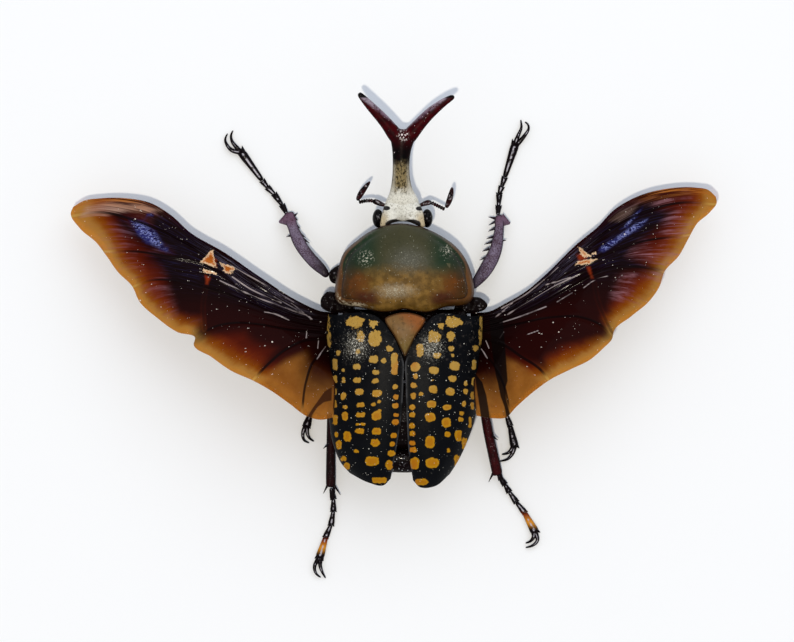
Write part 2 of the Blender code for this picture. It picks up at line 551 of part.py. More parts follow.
# root and tip of the thorns on each shin; roots lie well inside it
THORNS = {
    "fore_l": [((-14.6, 15.3), (-14.2, 16.1)), ((-14.2, 14.6), (-13.7, 15.2)),
               ((-13.8, 13.7), (-13.3, 14.3)), ((-13.3, 12.7), (-12.8, 13.2)),
               ((-12.8, 12.0), (-12.3, 12.5)), ((-15.2, 14.6), (-16.4, 14.9)),
               ((-14.5, 12.5), (-15.3, 13.0))],
    "fore_r": [((11.9, 15.3), (11.0, 15.7)), ((12.0, 14.3), (11.0, 14.6)), ((11.9, 13.5), (10.9, 13.7)),
               ((11.8, 12.4), (10.7, 12.5)), ((11.6, 11.7), (10.4, 11.9)), ((11.3, 11.0), (10.2, 11.1)),
               ((10.9, 10.1), (9.8, 9.9)), ((12.4, 15.0), (13.7, 14.6)), ((12.6, 12.1), (13.2, 12.4))],
    "mid_l": [((-10.7, -6.9), (-11.6, -8.0)), ((-10.2, -6.9), (-9.3, -7.9))],
    "mid_r": [((12.7, -5.1), (13.3, -6.2)), ((12.1, -5.1), (11.4, -6.2))],
    "hind_l": [((-9.9, -19.2), (-10.6, -20.5)), ((-9.4, -19.2), (-8.4, -20.8))],
    "hind_r": [((11.7, -17.7), (11.1, -19.1)), ((12.4, -17.6), (12.9, -18.7))],
}
# where the five joints of each foot begin and end
FEET = {
    "fore_l": [(-15.5, 16.15), (-16.0, 17.1), (-17.0, 18.5), (-17.9, 19.4), (-18.6, 20.3), (-21.4, 24.1)],
    "fore_r": [(12.2, 15.95), (12.3, 17.0), (12.4, 18.6), (12.7, 19.5), (13.1, 20.7), (14.5, 25.1)],
    "mid_l": [(-10.5, -7.75), (-11.0, -8.3), (-11.6, -9.0), (-12.0, -9.6), (-12.3, -10.2), (-12.8, -11.8)],
    "mid_r": [(12.4, -5.9), (12.5, -7.0), (12.8, -8.3), (13.1, -9.4), (13.3, -10.3), (14.4, -14.5)],
    "hind_l": [(-9.6, -20.1), (-9.3, -21.3), (-9.3, -22.9), (-9.6, -24.7), (-10.3, -26.3), (-11.1, -29.0)],
    "hind_r": [(12.4, -18.5), (13.1, -19.4), (13.7, -20.4), (14.6, -21.7), (15.7, -23.1), (17.1, -25.7)],
}
CLAWS = {
    "fore_l": [[(-21.2, 24.0), (-22.7, 24.3), (-23.3, 25.1), (-23.5, 25.7), (-23.1, 26.5)],
               [(-21.3, 23.9), (-22.0, 24.7), (-22.6, 25.5), (-22.7, 26.3), (-22.4, 26.9)]],
    "fore_r": [[(14.4, 24.9), (14.9, 26.3), (15.3, 27.2), (15.2, 28.3)],
               [(14.6, 24.9), (15.8, 26.3), (16.3, 27.2), (16.1, 27.8), (15.7, 28.0)]],
    "mid_l": [[(-12.8, -11.6), (-13.3, -12.7), (-13.1, -13.7), (-12.4, -14.0)],
              [(-12.7, -11.6), (-12.7, -12.8), (-12.4, -13.4), (-11.8, -13.8)]],
    "mid_r": [[(14.4, -14.3), (14.2, -15.2), (13.5, -16.1), (12.4, -16.4)],
              [(14.3, -14.3), (13.8, -15.1), (13.3, -15.4), (12.7, -15.5)]],
    "hind_l": [[(-11.0, -28.8), (-11.8, -30.3), (-11.5, -31.2), (-10.9, -31.6)],
               [(-11.0, -28.8), (-11.0, -30.2), (-10.7, -31.0), (-10.3, -31.7)]],
    "hind_r": [[(17.0, -25.5), (17.4, -26.8), (16.8, -27.4), (15.8, -27.7)],
               [(17.0, -25.5), (16.8, -26.5), (16.4, -26.9), (15.8, -27.1)]],
}
FOOT_DROP = (1.15, 0.7, 0.4, 0.3, 0.3, 0.42)   # height of each joint's end
CLAW_ARCH = (0.4, 0.55, 0.5, 0.3, 0.2)


def build_foot(leg):
    """Five joints, each flaring to its end and flat below where it lies on the floor."""
    joints = FEET[leg]
    path = []
    for k in range(5):
        (xa, ya), (xb, yb) = joints[k], joints[k + 1]
        flare = 0.5 if k == 4 else 0.37
        thick = FOOT_HALF_THICKNESS + (0.08 if k == 4 else 0.0)
        for part, half, tall in ((0.1, 0.27, 0.27), (0.62, flare * 0.85, thick), (0.96, flare, thick)):
            z = FOOT_DROP[k] + (FOOT_DROP[k + 1] - FOOT_DROP[k]) * part
            path.append((xa + (xb - xa) * part, ya + (yb - ya) * part, max(z, tall), half, tall))
    path[0] = (joints[0][0], joints[0][1], FOOT_DROP[0], 0.28, 0.28)
    pieces = [tube("tarsus_" + leg, path)]
    for claw in CLAWS[leg]:
        curve = []
        for k, (x, y) in enumerate(claw):
            left = 1.0 - k / (len(claw) - 1)
            curve.append((x, y, CLAW_ARCH[k], 0.07 + 0.2 * left, 0.07 + 0.2 * left))
        pieces.append(tube("claw", curve, 6))
    fuse("tarsus_" + leg, pieces)


def shin_height(leg, x, y):
    """Height of the shin's middle at its station nearest to a point."""
    near = min(TIBIAE[leg], key=lambda s: hypot((s[0] + s[2]) / 2 - x, (s[1] + s[3]) / 2 - y))
    return near[4]


def build_legs():
    for leg in COXAE:
        tube("coxa_" + leg, COXAE[leg], 10)
        tube("femur_" + leg, FEMORA[leg], 10)
        pieces = [bar("tibia_" + leg, TIBIAE[leg], 10)]
        for root, tip in THORNS[leg]:
            z = shin_height(leg, *root)
            pieces.append(spike("thorn", (*root, z), (*tip, z - 0.1), 0.22))
        fuse("tibia_" + leg, pieces)
        build_foot(leg)


def paint(thing):
    """Gives a part a material of its own."""
    key = next(start for start in FINISHES if thing.name.startswith(start))
    colour, roughness = FINISHES[key]
    material = bpy.data.materials.new(thing.name)
    material.use_nodes = True
    shader = material.node_tree.nodes["Principled BSDF"]
    shader.inputs["Base Color"].default_value = (*colour, 1.0)
    shader.inputs["Roughness"].default_value = roughness
    shader.inputs["Metallic"].default_value = 0.0
    thing.data.materials.append(material)


def finish():
    """Scales every part to metres, smooths and paints it, and hangs it on one empty."""
    beetle = bpy.data.objects.new("beetle", None)
    beetle.location = [MM * step for step in BOX_SHIFT]
    for thing in list(bpy.data.objects):
        if thing.type != "MESH":
            continue
        thing.data.transform(Matrix.Scale(MM, 4))
        thing.data.shade_smooth()
        thing.data.set_sharp_from_angle(angle=SHARP)
        paint(thing)
        thing.parent = beetle
    bpy.context.scene.collection.objects.link(beetle)


clear_scene()
build_head()
build_thorax()
build_abdomen()
for case_side, case_edges in CASES.items():
    build_case(case_side, case_edges)
for wing_side, wing_lines in WINGS.items():
    build_wing(wing_side, wing_lines["veins"], wing_lines["margin"])
build_legs()
finish()
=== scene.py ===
"""The finished surfaces of a male horned flower beetle, set with open wings.

Pieces are modelled in millimetres in the beetle's own frame, x to its right, y towards the
horn, z up from the floor, and settle() brings each to its place in metres.
"""
from math import atan2, hypot, pi, sin

import bpy
import numpy as np
from mathutils import Matrix, Vector


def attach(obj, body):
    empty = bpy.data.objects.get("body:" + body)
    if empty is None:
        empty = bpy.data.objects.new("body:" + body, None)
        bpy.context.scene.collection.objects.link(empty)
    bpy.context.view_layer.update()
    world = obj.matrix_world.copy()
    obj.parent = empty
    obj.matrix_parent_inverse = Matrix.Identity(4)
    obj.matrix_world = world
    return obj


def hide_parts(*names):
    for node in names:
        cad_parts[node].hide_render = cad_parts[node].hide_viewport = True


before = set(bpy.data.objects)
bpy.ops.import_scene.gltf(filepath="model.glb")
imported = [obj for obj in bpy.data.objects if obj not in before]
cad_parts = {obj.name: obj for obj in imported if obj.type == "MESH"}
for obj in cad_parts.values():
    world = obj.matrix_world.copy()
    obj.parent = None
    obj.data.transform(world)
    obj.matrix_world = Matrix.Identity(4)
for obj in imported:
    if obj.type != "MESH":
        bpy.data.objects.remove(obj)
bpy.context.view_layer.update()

MM = 0.001
BODY_SHIFT = Vector((1.36, 0.14, 0.0))   # the frame's centre is the middle of the wings' span
CASE_RIM = 7.35                          # height of the wing cases' outer edge
CASE_RISE = 5.3
SHIELD_LOW = 5.9
SHIELD_CROWN = 12.2
SHARP_ANGLE = 1.0                        # radians; edges sharper than this stay sharp
RIM_SHARE = 1e-4                         # levels of a moulded sphere that count as its rim
THORN_TAPER = 0.12                       # a thorn's tip, as a share of its root


# Shader maths

class Value:
    """A number that varies over a surface; plain arithmetic on it adds maths nodes."""

    def __init__(self, paint, socket):
        self.paint = paint
        self.socket = socket

    def __add__(self, other):
        return self.paint.maths("ADD", self, other)

    def __sub__(self, other):
        return self.paint.maths("SUBTRACT", self, other)

    def __rsub__(self, other):
        return self.paint.maths("SUBTRACT", other, self)

    def __mul__(self, other):
        return self.paint.maths("MULTIPLY", self, other)

    def __truediv__(self, other):
        return self.paint.maths("DIVIDE", self, other)

    def __pow__(self, other):
        return self.paint.maths("POWER", self, other)

    __radd__ = __add__
    __rmul__ = __mul__


class Paint:
    """One material and the nodes it is made of. Lengths in it are millimetres."""

    def __init__(self, name, roughness=0.4, coat=0.0, coat_roughness=0.1, specular=0.5):
        self.material = bpy.data.materials.new(name)
        self.material.use_nodes = True
        self.tree = self.material.node_tree
        self.shader = self.tree.nodes["Principled BSDF"]
        self.shader.inputs["Roughness"].default_value = roughness
        self.shader.inputs["Coat Weight"].default_value = coat
        self.shader.inputs["Coat Roughness"].default_value = coat_roughness
        self.shader.inputs["Specular IOR Level"].default_value = specular
        where = self.node("ShaderNodeTexCoord").outputs["Object"]
        scaled = self.node("ShaderNodeVectorMath", {"operation": "SCALE"}, {0: where, "Scale": 1.0 / MM})
        moved = self.node("ShaderNodeVectorMath", {"operation": "SUBTRACT"},
                          {0: scaled.outputs[0], 1: tuple(BODY_SHIFT)})
        self.place = moved.outputs[0]
        parts = self.node("ShaderNodeSeparateXYZ", None, {0: self.place})
        self.x, self.y, self.z = (Value(self, parts.outputs[k]) for k in range(3))
        faces = self.node("ShaderNodeNewGeometry").outputs["Normal"]
        facing = self.node("ShaderNodeSeparateXYZ", None, {0: faces})
        self.ahead = Value(self, facing.outputs[1])
        self.up = Value(self, facing.outputs[2])

    def node(self, kind, settings=None, sockets=None):
        """Adds a node with its settings, and gives its sockets their values or links."""
        node = self.tree.nodes.new(kind)
        for key, setting in (settings or {}).items():
            setattr(node, key, setting)
        for key, value in (sockets or {}).items():
            if isinstance(value, Value):
                value = value.socket
            if isinstance(value, bpy.types.NodeSocket):
                self.tree.links.new(value, node.inputs[key])
            else:
                node.inputs[key].default_value = value
        return node

    def maths(self, operation, *values):
        node = self.node("ShaderNodeMath", {"operation": operation}, dict(enumerate(values)))
        return Value(self, node.outputs[0])

    def least(self, *values):
        return self.maths("MINIMUM", *values)

    def most(self, *values):
        return self.maths("MAXIMUM", *values)

    def size(self, value):
        return self.maths("ABSOLUTE", value)

    def ramp(self, value, low, high):
        """0 where the value is at low or beyond, 1 at high, smooth between."""
        settings = {"interpolation_type": "SMOOTHSTEP"}
        if low < high:
            sockets = {0: value, 1: low, 2: high, 3: 0.0, 4: 1.0}
        else:
            sockets = {0: value, 1: high, 2: low, 3: 1.0, 4: 0.0}
        return Value(self, self.node("ShaderNodeMapRange", settings, sockets).outputs[0])

    def oval(self, centre, half=(1.0, 1.0), x=None):
        """How far a place is from an oval's centre: 1 on the oval of these half axes."""
        across = ((x or self.x) - centre[0]) / half[0]
        lengthwise = (self.y - centre[1]) / half[1]
        return (across ** 2 + lengthwise ** 2) ** 0.5

    def attribute(self, name):
        """A number that the piece carries at its vertices."""
        return Value(self, self.node("ShaderNodeAttribute", {"attribute_name": name}).outputs["Fac"])

    def stretched(self, by, turn=0.0):
        """Places stretched by a factor along each axis, for patterns that run one way."""
        return self.node("ShaderNodeMapping", None,
                         {"Vector": self.place, "Rotation": (0.0, 0.0, turn), "Scale": by}).outputs[0]

    def noise(self, per_mm, detail=3.0, roughness=0.55, at=None, seed=0.0):
        """Cloudy noise about 0.5, with so many blots per millimetre."""
        settings = {"noise_dimensions": "4D"}
        sockets = {"Vector": at or self.place, "W": seed, "Scale": per_mm, "Detail": detail,
                   "Roughness": roughness}
        return Value(self, self.node("ShaderNodeTexNoise", settings, sockets).outputs["Fac"])

    def cells(self, per_mm, randomness=1.0):
        """Distance from the nearest of many scattered points, for pits and facets."""
        sockets = {"Vector": self.place, "Scale": per_mm, "Randomness": randomness}
        return Value(self, self.node("ShaderNodeTexVoronoi", None, sockets).outputs["Distance"])

    def specks(self, per_mm, share, radius):
        """1 in small round specks laid on a share of a pattern's cells, 0 elsewhere."""
        cells = self.node("ShaderNodeTexVoronoi", None, {"Vector": self.place, "Scale": per_mm})
        chance = self.node("ShaderNodeSeparateColor", None, {0: cells.outputs["Color"]}).outputs[0]
        near = self.ramp(Value(self, cells.outputs["Distance"]), radius * per_mm, radius * per_mm * 0.5)
        return near * self.ramp(Value(self, chance), 1.0 - share, 1.005 - share)

    def joined(self, x, y):
        return self.node("ShaderNodeCombineXYZ", None, {0: x, 1: y}).outputs[0]

    def mix(self, factor, first, second):
        """The first colour where the factor is 0, the second where it is 1."""
        settings = {"data_type": "RGBA"}
        sockets = {0: factor, 6: self.colour(first), 7: self.colour(second)}
        return self.node("ShaderNodeMix", settings, sockets).outputs[2]

    def colour(self, value):
        """Completes a colour given as red, green and blue; a link stays as it is."""
        if isinstance(value, tuple) and len(value) == 3:
            return (*value, 1.0)
        return value

    def finish(self, colour, roughness=None, height=None, depth=0.0, coat=None):
        """Connects what was made; height is relief in shares of depth millimetres."""
        inputs = self.shader.inputs
        self.tree.links.new(colour, inputs["Base Color"])
        for value, name in ((roughness, "Roughness"), (coat, "Coat Weight")):
            if value is not None:
                self.tree.links.new(value.socket, inputs[name])
        if height is not None:
            sockets = {"Strength": 1.0, "Distance": depth * MM, "Height": height}
            bump = self.node("ShaderNodeBump", None, sockets)
            self.tree.links.new(bump.outputs[0], inputs["Normal"])
        return self.material

    def film(self, tint, clear):
        """Lets light through, coloured by tint, where clear is more than 0."""
        through = self.node("ShaderNodeBsdfTransparent", None, {"Color": self.colour(tint)})
        mixed = self.node("ShaderNodeMixShader", None,
                          {0: clear, 1: self.shader.outputs[0], 2: through.outputs[0]})
        self.tree.links.new(mixed.outputs[0], self.tree.nodes["Material Output"].inputs["Surface"])


# Making and placing pieces

def deselect():
    if bpy.context.object and bpy.context.object.mode != "OBJECT":
        bpy.ops.object.mode_set(mode="OBJECT")
    bpy.ops.object.select_all(action="DESELECT")


def take(piece):
    """Makes one piece the only selected and active one."""
    deselect()
    piece.select_set(True)
    bpy.context.view_layer.objects.active = piece


def modify(piece, kind, **settings):
    """Adds a modifier with its settings and applies it."""
    take(piece)
    modifier = piece.modifiers.new(kind.lower(), kind)
    for key, setting in settings.items():
        setattr(modifier, key, setting)
    bpy.ops.object.modifier_apply(modifier=modifier.name)


def join(name, pieces):
    """Joins pieces into one object."""
    take(pieces[0])
    for piece in pieces[1:]:
        piece.select_set(True)
    bpy.ops.object.join()
    pieces[0].name = name
    return pieces[0]


def outward(piece):
    """Turns all faces of a closed piece outwards."""
    take(piece)
    bpy.ops.object.mode_set(mode="EDIT")
    bpy.ops.mesh.select_all(action="SELECT")
    bpy.ops.mesh.normals_make_consistent(inside=False)
    bpy.ops.object.mode_set(mode="OBJECT")


def settle(piece, name, material, nodes=None):
    """Brings a finished piece to its place in metres and gives it to the frame.

    It stands in for the node of its own name, or for the nodes given.
    """
    nodes = nodes or [name]
    take(piece)
    bpy.ops.object.transform_apply(location=True, rotation=True, scale=True)
    piece.name = name
    piece.data.name = name
    piece.data.transform(Matrix.Scale(MM, 4) @ Matrix.Translation(BODY_SHIFT))
    piece.data.update()
    bpy.ops.object.shade_smooth_by_angle(angle=SHARP_ANGLE)
    piece.data.materials.clear()
    piece.data.materials.append(material)
    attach(piece, "root")
    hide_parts(*nodes)
    deselect()


def bend(start, end, leave, arrive, t):
    """A point on the smooth curve from start to end; leave and arrive are its slopes there."""
    return (start * (1 + 2 * t) * (1 - t) ** 2 + end * t * t * (3 - 2 * t)
            + leave * t * (1 - t) ** 2 - arrive * t * t * (1 - t))


def along(points, count):
    """Spreads count points evenly along a smooth open curve through the given points.

    The spacing goes by the first two coordinates; any others are carried along.
    """
    given = np.array(points, dtype=float)
    place = np.concatenate([[0.0], np.cumsum(np.hypot(*np.diff(given[:, :2], axis=0).T))])
    slopes = np.gradient(given, place, axis=0)
    wanted = np.linspace(0.0, place[-1], count)
    index = np.clip(np.searchsorted(place, wanted, side="right") - 1, 0, len(given) - 2)
    span = (place[index + 1] - place[index])[:, None]
    t = (wanted - place[index])[:, None] / span
    return bend(given[index], given[index + 1], span * slopes[index], span * slopes[index + 1], t)


def around(points, count):
    """Spreads count points evenly round a smooth closed curve through the given points."""
    given = np.array(points, dtype=float)
    ahead = np.roll(given, -1, axis=0)
    spans = np.hypot(*(ahead - given).T)
    slopes = (ahead - np.roll(given, 1, axis=0)) / (spans + np.roll(spans, 1))[:, None]
    loop = []
    for i in range(len(given)):
        j = (i + 1) % len(given)
        for t in np.linspace(0.0, 1.0, 12, endpoint=False):
            loop.append(bend(given[i], given[j], slopes[i] * spans[i], slopes[j] * spans[i], t))
    loop = np.array(loop + loop[:1])
    place = np.concatenate([[0.0], np.cumsum(np.hypot(*np.diff(loop, axis=0).T))])
    wanted = np.linspace(0.0, place[-1], count, endpoint=False)
    return np.column_stack([np.interp(wanted, place, loop[:, 0]),
                            np.interp(wanted, place, loop[:, 1])])


def turn(angle, centre):
    """Turns what is selected in edit mode about an upright axis through a centre."""
    bpy.ops.transform.rotate(value=-angle, orient_axis="Z", center_override=centre)


def grow(stations, sides, levels):
    """Grows a closed limb from a ring, station by station, and smooths it.

    A station is x, y, z, half width in plan and half thickness.
    """
    headings = []
    for i in range(len(stations)):
        ahead = stations[min(i + 1, len(stations) - 1)]
        behind = stations[max(i - 1, 0)]
        headings.append(atan2(ahead[1] - behind[1], ahead[0] - behind[0]) - pi / 2)
    x, y, z, wide, thick = stations[0]
    deselect()
    bpy.ops.mesh.primitive_circle_add(vertices=sides, radius=1.0, fill_type="NGON",
                                      location=(x, y, z), rotation=(pi / 2, 0.0, 0.0))
    limb = bpy.context.object
    bpy.ops.object.transform_apply(location=True, rotation=True, scale=True)
    bpy.ops.object.mode_set(mode="EDIT")
    bpy.ops.mesh.select_all(action="SELECT")
    bpy.ops.transform.resize(value=(wide, 1.0, thick), center_override=(x, y, z))
    turn(headings[0], (x, y, z))
    for i in range(1, len(stations)):
        here = stations[i]
        before = stations[i - 1]
        step = [here[k] - before[k] for k in range(3)]
        bpy.ops.mesh.extrude_region_move(TRANSFORM_OT_translate={"value": step})
        centre = here[:3]
        turn(-headings[i - 1], centre)
        bpy.ops.transform.resize(value=(here[3] / before[3], 1.0, here[4] / before[4]),
                                 center_override=centre)
        turn(headings[i], centre)
    outward(limb)
    modify(limb, "SUBSURF", levels=levels, render_levels=levels)
    return limb


def flat_grow(stations, sides, levels):
    """Grows a limb from stations that give both side edges in plan, height and half thickness."""
    path = []
    for xa, ya, xb, yb, z, half in stations:
        path.append(((xa + xb) / 2, (ya + yb) / 2, z, hypot(xb - xa, yb - ya) / 2, half))
    return grow(path, sides, levels)


def mould(outline, low, high, drop, rise, sides, rings, power=0.5, dress=None):
    """Moulds a sphere onto an outline in plan, arched up by rise and down by drop.

    low and high are the heights of its edge; high may be a function of x and y. dress takes
    the points, how far out each is, and whether it is on the upper side, and gives heights.
    """
    edge = around(outline, sides)
    middle = edge.mean(axis=0)
    deselect()
    bpy.ops.mesh.primitive_uv_sphere_add(segments=sides, ring_count=rings, radius=1.0)
    piece = bpy.context.object
    highs = np.array([high(*p) if callable(high) else high for p in edge])
    points = coordinates(piece)
    turns = np.arctan2(points[:, 1], points[:, 0]) / (2 * pi) * sides
    index = np.rint(turns).astype(int) % sides
    level = points[:, 2]
    out = np.sqrt(np.clip(1.0 - level ** 2, 0.0, 1.0)) ** (2.0 * power)
    upper = level > 0
    plan = middle + (edge[index] - middle) * out[:, None]
    lift = np.abs(level)
    top = highs[index] + (highs.mean() + rise - highs[index]) * lift
    bottom = low - drop * lift
    rim = lift < RIM_SHARE
    height = np.where(rim, (highs[index] + low) / 2, np.where(upper, top, bottom))
    if dress:
        height = dress(plan[:, 0], plan[:, 1], height, out, upper)
    reshape(piece, np.column_stack([plan, height]))
    outward(piece)
    return piece


def coordinates(piece):
    """The places of a mesh's vertices, one row each."""
    points = np.empty(len(piece.data.vertices) * 3)
    piece.data.vertices.foreach_get("co", points)
    return points.reshape(-1, 3)


def reshape(piece, points):
    """Puts a mesh's vertices at new places, one row each."""
    piece.data.vertices.foreach_set("co", points.ravel())
    piece.data.update()


def spread(columns, rows, points):
    """Lays a grid of columns by rows vertices through an array of points, facing up.

    Also gives each vertex's row and column.
    """
    deselect()
    bpy.ops.mesh.primitive_grid_add(x_subdivisions=columns - 1, y_subdivisions=rows - 1, size=2.0)
    piece = bpy.context.object
    flat = coordinates(piece)
    i = np.rint((flat[:, 1] + 1) / 2 * (rows - 1)).astype(int)
    j = np.rint((flat[:, 0] + 1) / 2 * (columns - 1)).astype(int)
    reshape(piece, points[i, j])
    total = sum((face.normal * face.area for face in piece.data.polygons), Vector())
    if total.z < 0:
        take(piece)
        bpy.ops.object.mode_set(mode="EDIT")
        bpy.ops.mesh.select_all(action="SELECT")
        bpy.ops.mesh.flip_normals()
        bpy.ops.object.mode_set(mode="OBJECT")
    return piece, i, j


def note(piece, name, values):
    """Writes one number per vertex for the material to read."""
    layer = piece.data.attributes.new(name, "FLOAT", "POINT")
    layer.data.foreach_set("value", np.asarray(values, dtype=np.float32))


def thorn(root, tip, radius, sides, flat=1.0):
    """A tapered thorn from a point inside its limb to its tip, flattened to a share of its height."""
    root = Vector(root)
    tip = Vector(tip)
    aim = tip - root
    deselect()
    bpy.ops.mesh.primitive_cone_add(vertices=sides, radius1=radius, radius2=radius * THORN_TAPER,
                                    depth=aim.length, location=(root + tip) / 2,
                                    rotation=aim.to_track_quat("Z", "Y").to_euler())
    piece = bpy.context.object
    bpy.ops.object.transform_apply(location=True, rotation=True, scale=True)
    if flat < 1.0:
        bpy.ops.object.mode_set(mode="EDIT")
        bpy.ops.mesh.select_all(action="SELECT")
        bpy.ops.transform.resize(value=(1.0, 1.0, flat), center_override=root)
        bpy.ops.object.mode_set(mode="OBJECT")
    return piece


# Materials

def dust(paint, share=0.05, per_mm=2.6, radius=0.1):
    """Pale dust specks of two sizes, as on an old specimen: 1 in a speck, 0 elsewhere."""
    coarse = paint.specks(per_mm, share, radius)
    return paint.most(coarse, paint.specks(per_mm * 2.3, share * 1.4, radius * 0.5))


def body_chitin():
    """Glossy black with a few painted glints; the tail plate glitters."""
    paint = Paint("body_black", coat=0.03, coat_roughness=0.05, specular=0.03)
    grain = paint.noise(4.0, 4.0)
    colour = paint.mix(grain, (0.0012, 0.001, 0.0012), (0.007, 0.0025, 0.002))
    glints = paint.ramp(paint.noise(3.2, 4.0, 0.65, seed=3.0), 0.6, 0.68)
    colour = paint.mix(glints * paint.ramp(paint.up, 0.5, 0.9) * 0.5, colour, (0.3, 0.28, 0.3))
    colour = paint.mix(dust(paint, 0.05) * 0.7, colour, (0.45, 0.43, 0.4))
    glitter = paint.specks(4.2, 0.35, 0.09) * paint.ramp(paint.y, -14.9, -15.6)
    colour = paint.mix(glitter * 0.8, colour, (0.6, 0.62, 0.65))
    pits = paint.ramp(paint.cells(5.0), 0.25, 0.05)
    return paint.finish(colour, grain * 0.2 + 0.25, grain * 0.4 - pits * 0.6, 0.03)


def antenna_chitin():
    """Black with a red tinge, with painted shade on the sides of each bead and a painted highlight along
    its top.
    """
    paint = Paint("antenna_black", coat=0.08, coat_roughness=0.15, specular=0.04)
    grain = paint.noise(2.2, 4.0)
    colour = paint.mix(paint.ramp(grain, 0.4, 0.65), (0.002, 0.001, 0.001), (0.03, 0.0025, 0.0035))
    # painted shade: darker where the surface turns away from above
    colour = paint.mix(paint.ramp(paint.up, 0.75, 0.35), colour, (0.001, 0.0008, 0.001))
    # painted highlight: pale patches along the top of each bead
    pale_patches = paint.ramp(paint.noise(2.6, 3.0, 0.6, seed=2.0), 0.52, 0.62)
    colour = paint.mix(paint.ramp(paint.up, 0.8, 0.98) * pale_patches * 0.7, colour, (0.4, 0.36, 0.38))
    return paint.finish(colour, grain * 0.2 + 0.25, grain, 0.02)


def leg_chitin(name, main, tint):
    """Dark horn of the shins with a paler bloom, black at the knee, with painted shade along their sides
    and a painted highlight along the top.
    """
    paint = Paint(name, coat=0.04, coat_roughness=0.15, specular=0.05)
    cloud = paint.noise(0.8, 4.0)
    grain = paint.noise(6.0, 4.0, 0.75)
    paler_tone = paint.ramp(cloud * 0.6 + grain * 1.4, 0.76, 1.2)
    colour = paint.mix(paler_tone, main, tint)
    reddened = paint.ramp(paint.y, 13.8, 15.4) * paint.ramp(grain, 0.35, 0.6)
    colour = paint.mix(reddened * 0.65, colour, (0.12, 0.03, 0.06))
    # painted shade: the shin darker where its surface turns away from above
    flank = paint.mix(0.75, main, (0.0015, 0.001, 0.001))
    colour = paint.mix(paint.ramp(paint.up, 0.4, 0.97), flank, colour)
    knee = paint.ramp(paint.size(paint.x + 0.9) - (grain - 0.5) * 2.4, 12.4, 8.6)
    knee = knee * paint.ramp(paint.y, 5.0, 6.0)
    blackened = paint.most(knee, paint.attribute("thorn") * 0.85)
    colour = paint.mix(blackened, colour, (0.004, 0.002, 0.003))
    # painted highlight: pale patches along the top, laid together with pale dust specks
    pale_patches = paint.ramp(paint.up, 0.9, 0.99)
    pale_patches = pale_patches * paint.ramp(paint.noise(5.0, 4.0, 0.7, seed=3.0), 0.58, 0.66)
    pale = paint.most(pale_patches * 0.3, dust(paint, 0.05, 3.5, 0.06) * 0.6)
    colour = paint.mix(pale, colour, (0.5, 0.46, 0.5))
    pits = paint.ramp(paint.cells(4.5), 0.3, 0.08)
    return paint.finish(colour, cloud * 0.25 + 0.3, grain * 0.3 - pits * 0.7, 0.04)


def foot_chitin(name, band_y):
    """Black joints with a painted highlight along the top of each; amber between band_y on a hind foot.
    """
    paint = Paint(name, coat=0.06, coat_roughness=0.15, specular=0.04)
    grain = paint.noise(3.0, 4.0)
    colour = paint.mix(grain, (0.001, 0.0008, 0.001), (0.006, 0.002, 0.003))
    if band_y:
        low, high = band_y
        band = paint.ramp(paint.y, low - 0.5, low + 0.7) * paint.ramp(paint.y, high + 0.5, high - 0.5)
        clearer = paint.ramp(paint.y, high, low + 0.3)
        amber = paint.mix(clearer, (0.22, 0.03, 0.004), (0.62, 0.25, 0.02))
        colour = paint.mix(band * paint.ramp(paint.up, 0.1, 0.6), colour, amber)
    # painted highlight: pale patches along the top of each joint
    pale_patches = paint.ramp(paint.up, 0.975, 0.995)
    pale_patches = pale_patches * paint.ramp(paint.noise(2.0, 3.0, 0.6, seed=2.0), 0.46, 0.56)
    colour = paint.mix(pale_patches * 0.8, colour, (0.5, 0.47, 0.52))
    return paint.finish(colour, grain * 0.2 + 0.25, grain, 0.02)


def eye_black():
    """Black with fine facets and a soft painted gleam on top."""
    paint = Paint("eye_black", coat=0.1, coat_roughness=0.08, specular=0.03)
    facets = paint.cells(14.0, randomness=0.3)
    colour = paint.mix(paint.noise(1.0), (0.001, 0.001, 0.001), (0.004, 0.0025, 0.002))
    gleam = paint.ramp(paint.noise(3.2, 4.0, 0.6, seed=4.0), 0.6, 0.66)
    gleam = gleam * paint.ramp(paint.up, 0.35, 0.7)
    colour = paint.mix(gleam * 0.35, colour, (0.34, 0.31, 0.32))
    return paint.finish(colour, paint.noise(3.0) * 0.1 + 0.12, facets, 0.008)


# dark patches of the head: the first two paint the shadow at the neck, the other two are small dark
# spots; centre, then half width and half length
HEAD_PATCHES = [((-1.3, 14.45), (1.2, 0.72)), ((0.95, 14.45), (1.2, 0.72)),
                ((-2.35, 16.6), (0.5, 0.28)), ((1.95, 16.55), (0.5, 0.28))]
STIPPLE = (0.26, 0.235, 0.19)           # grey-brown grain in the cream of the head and horn


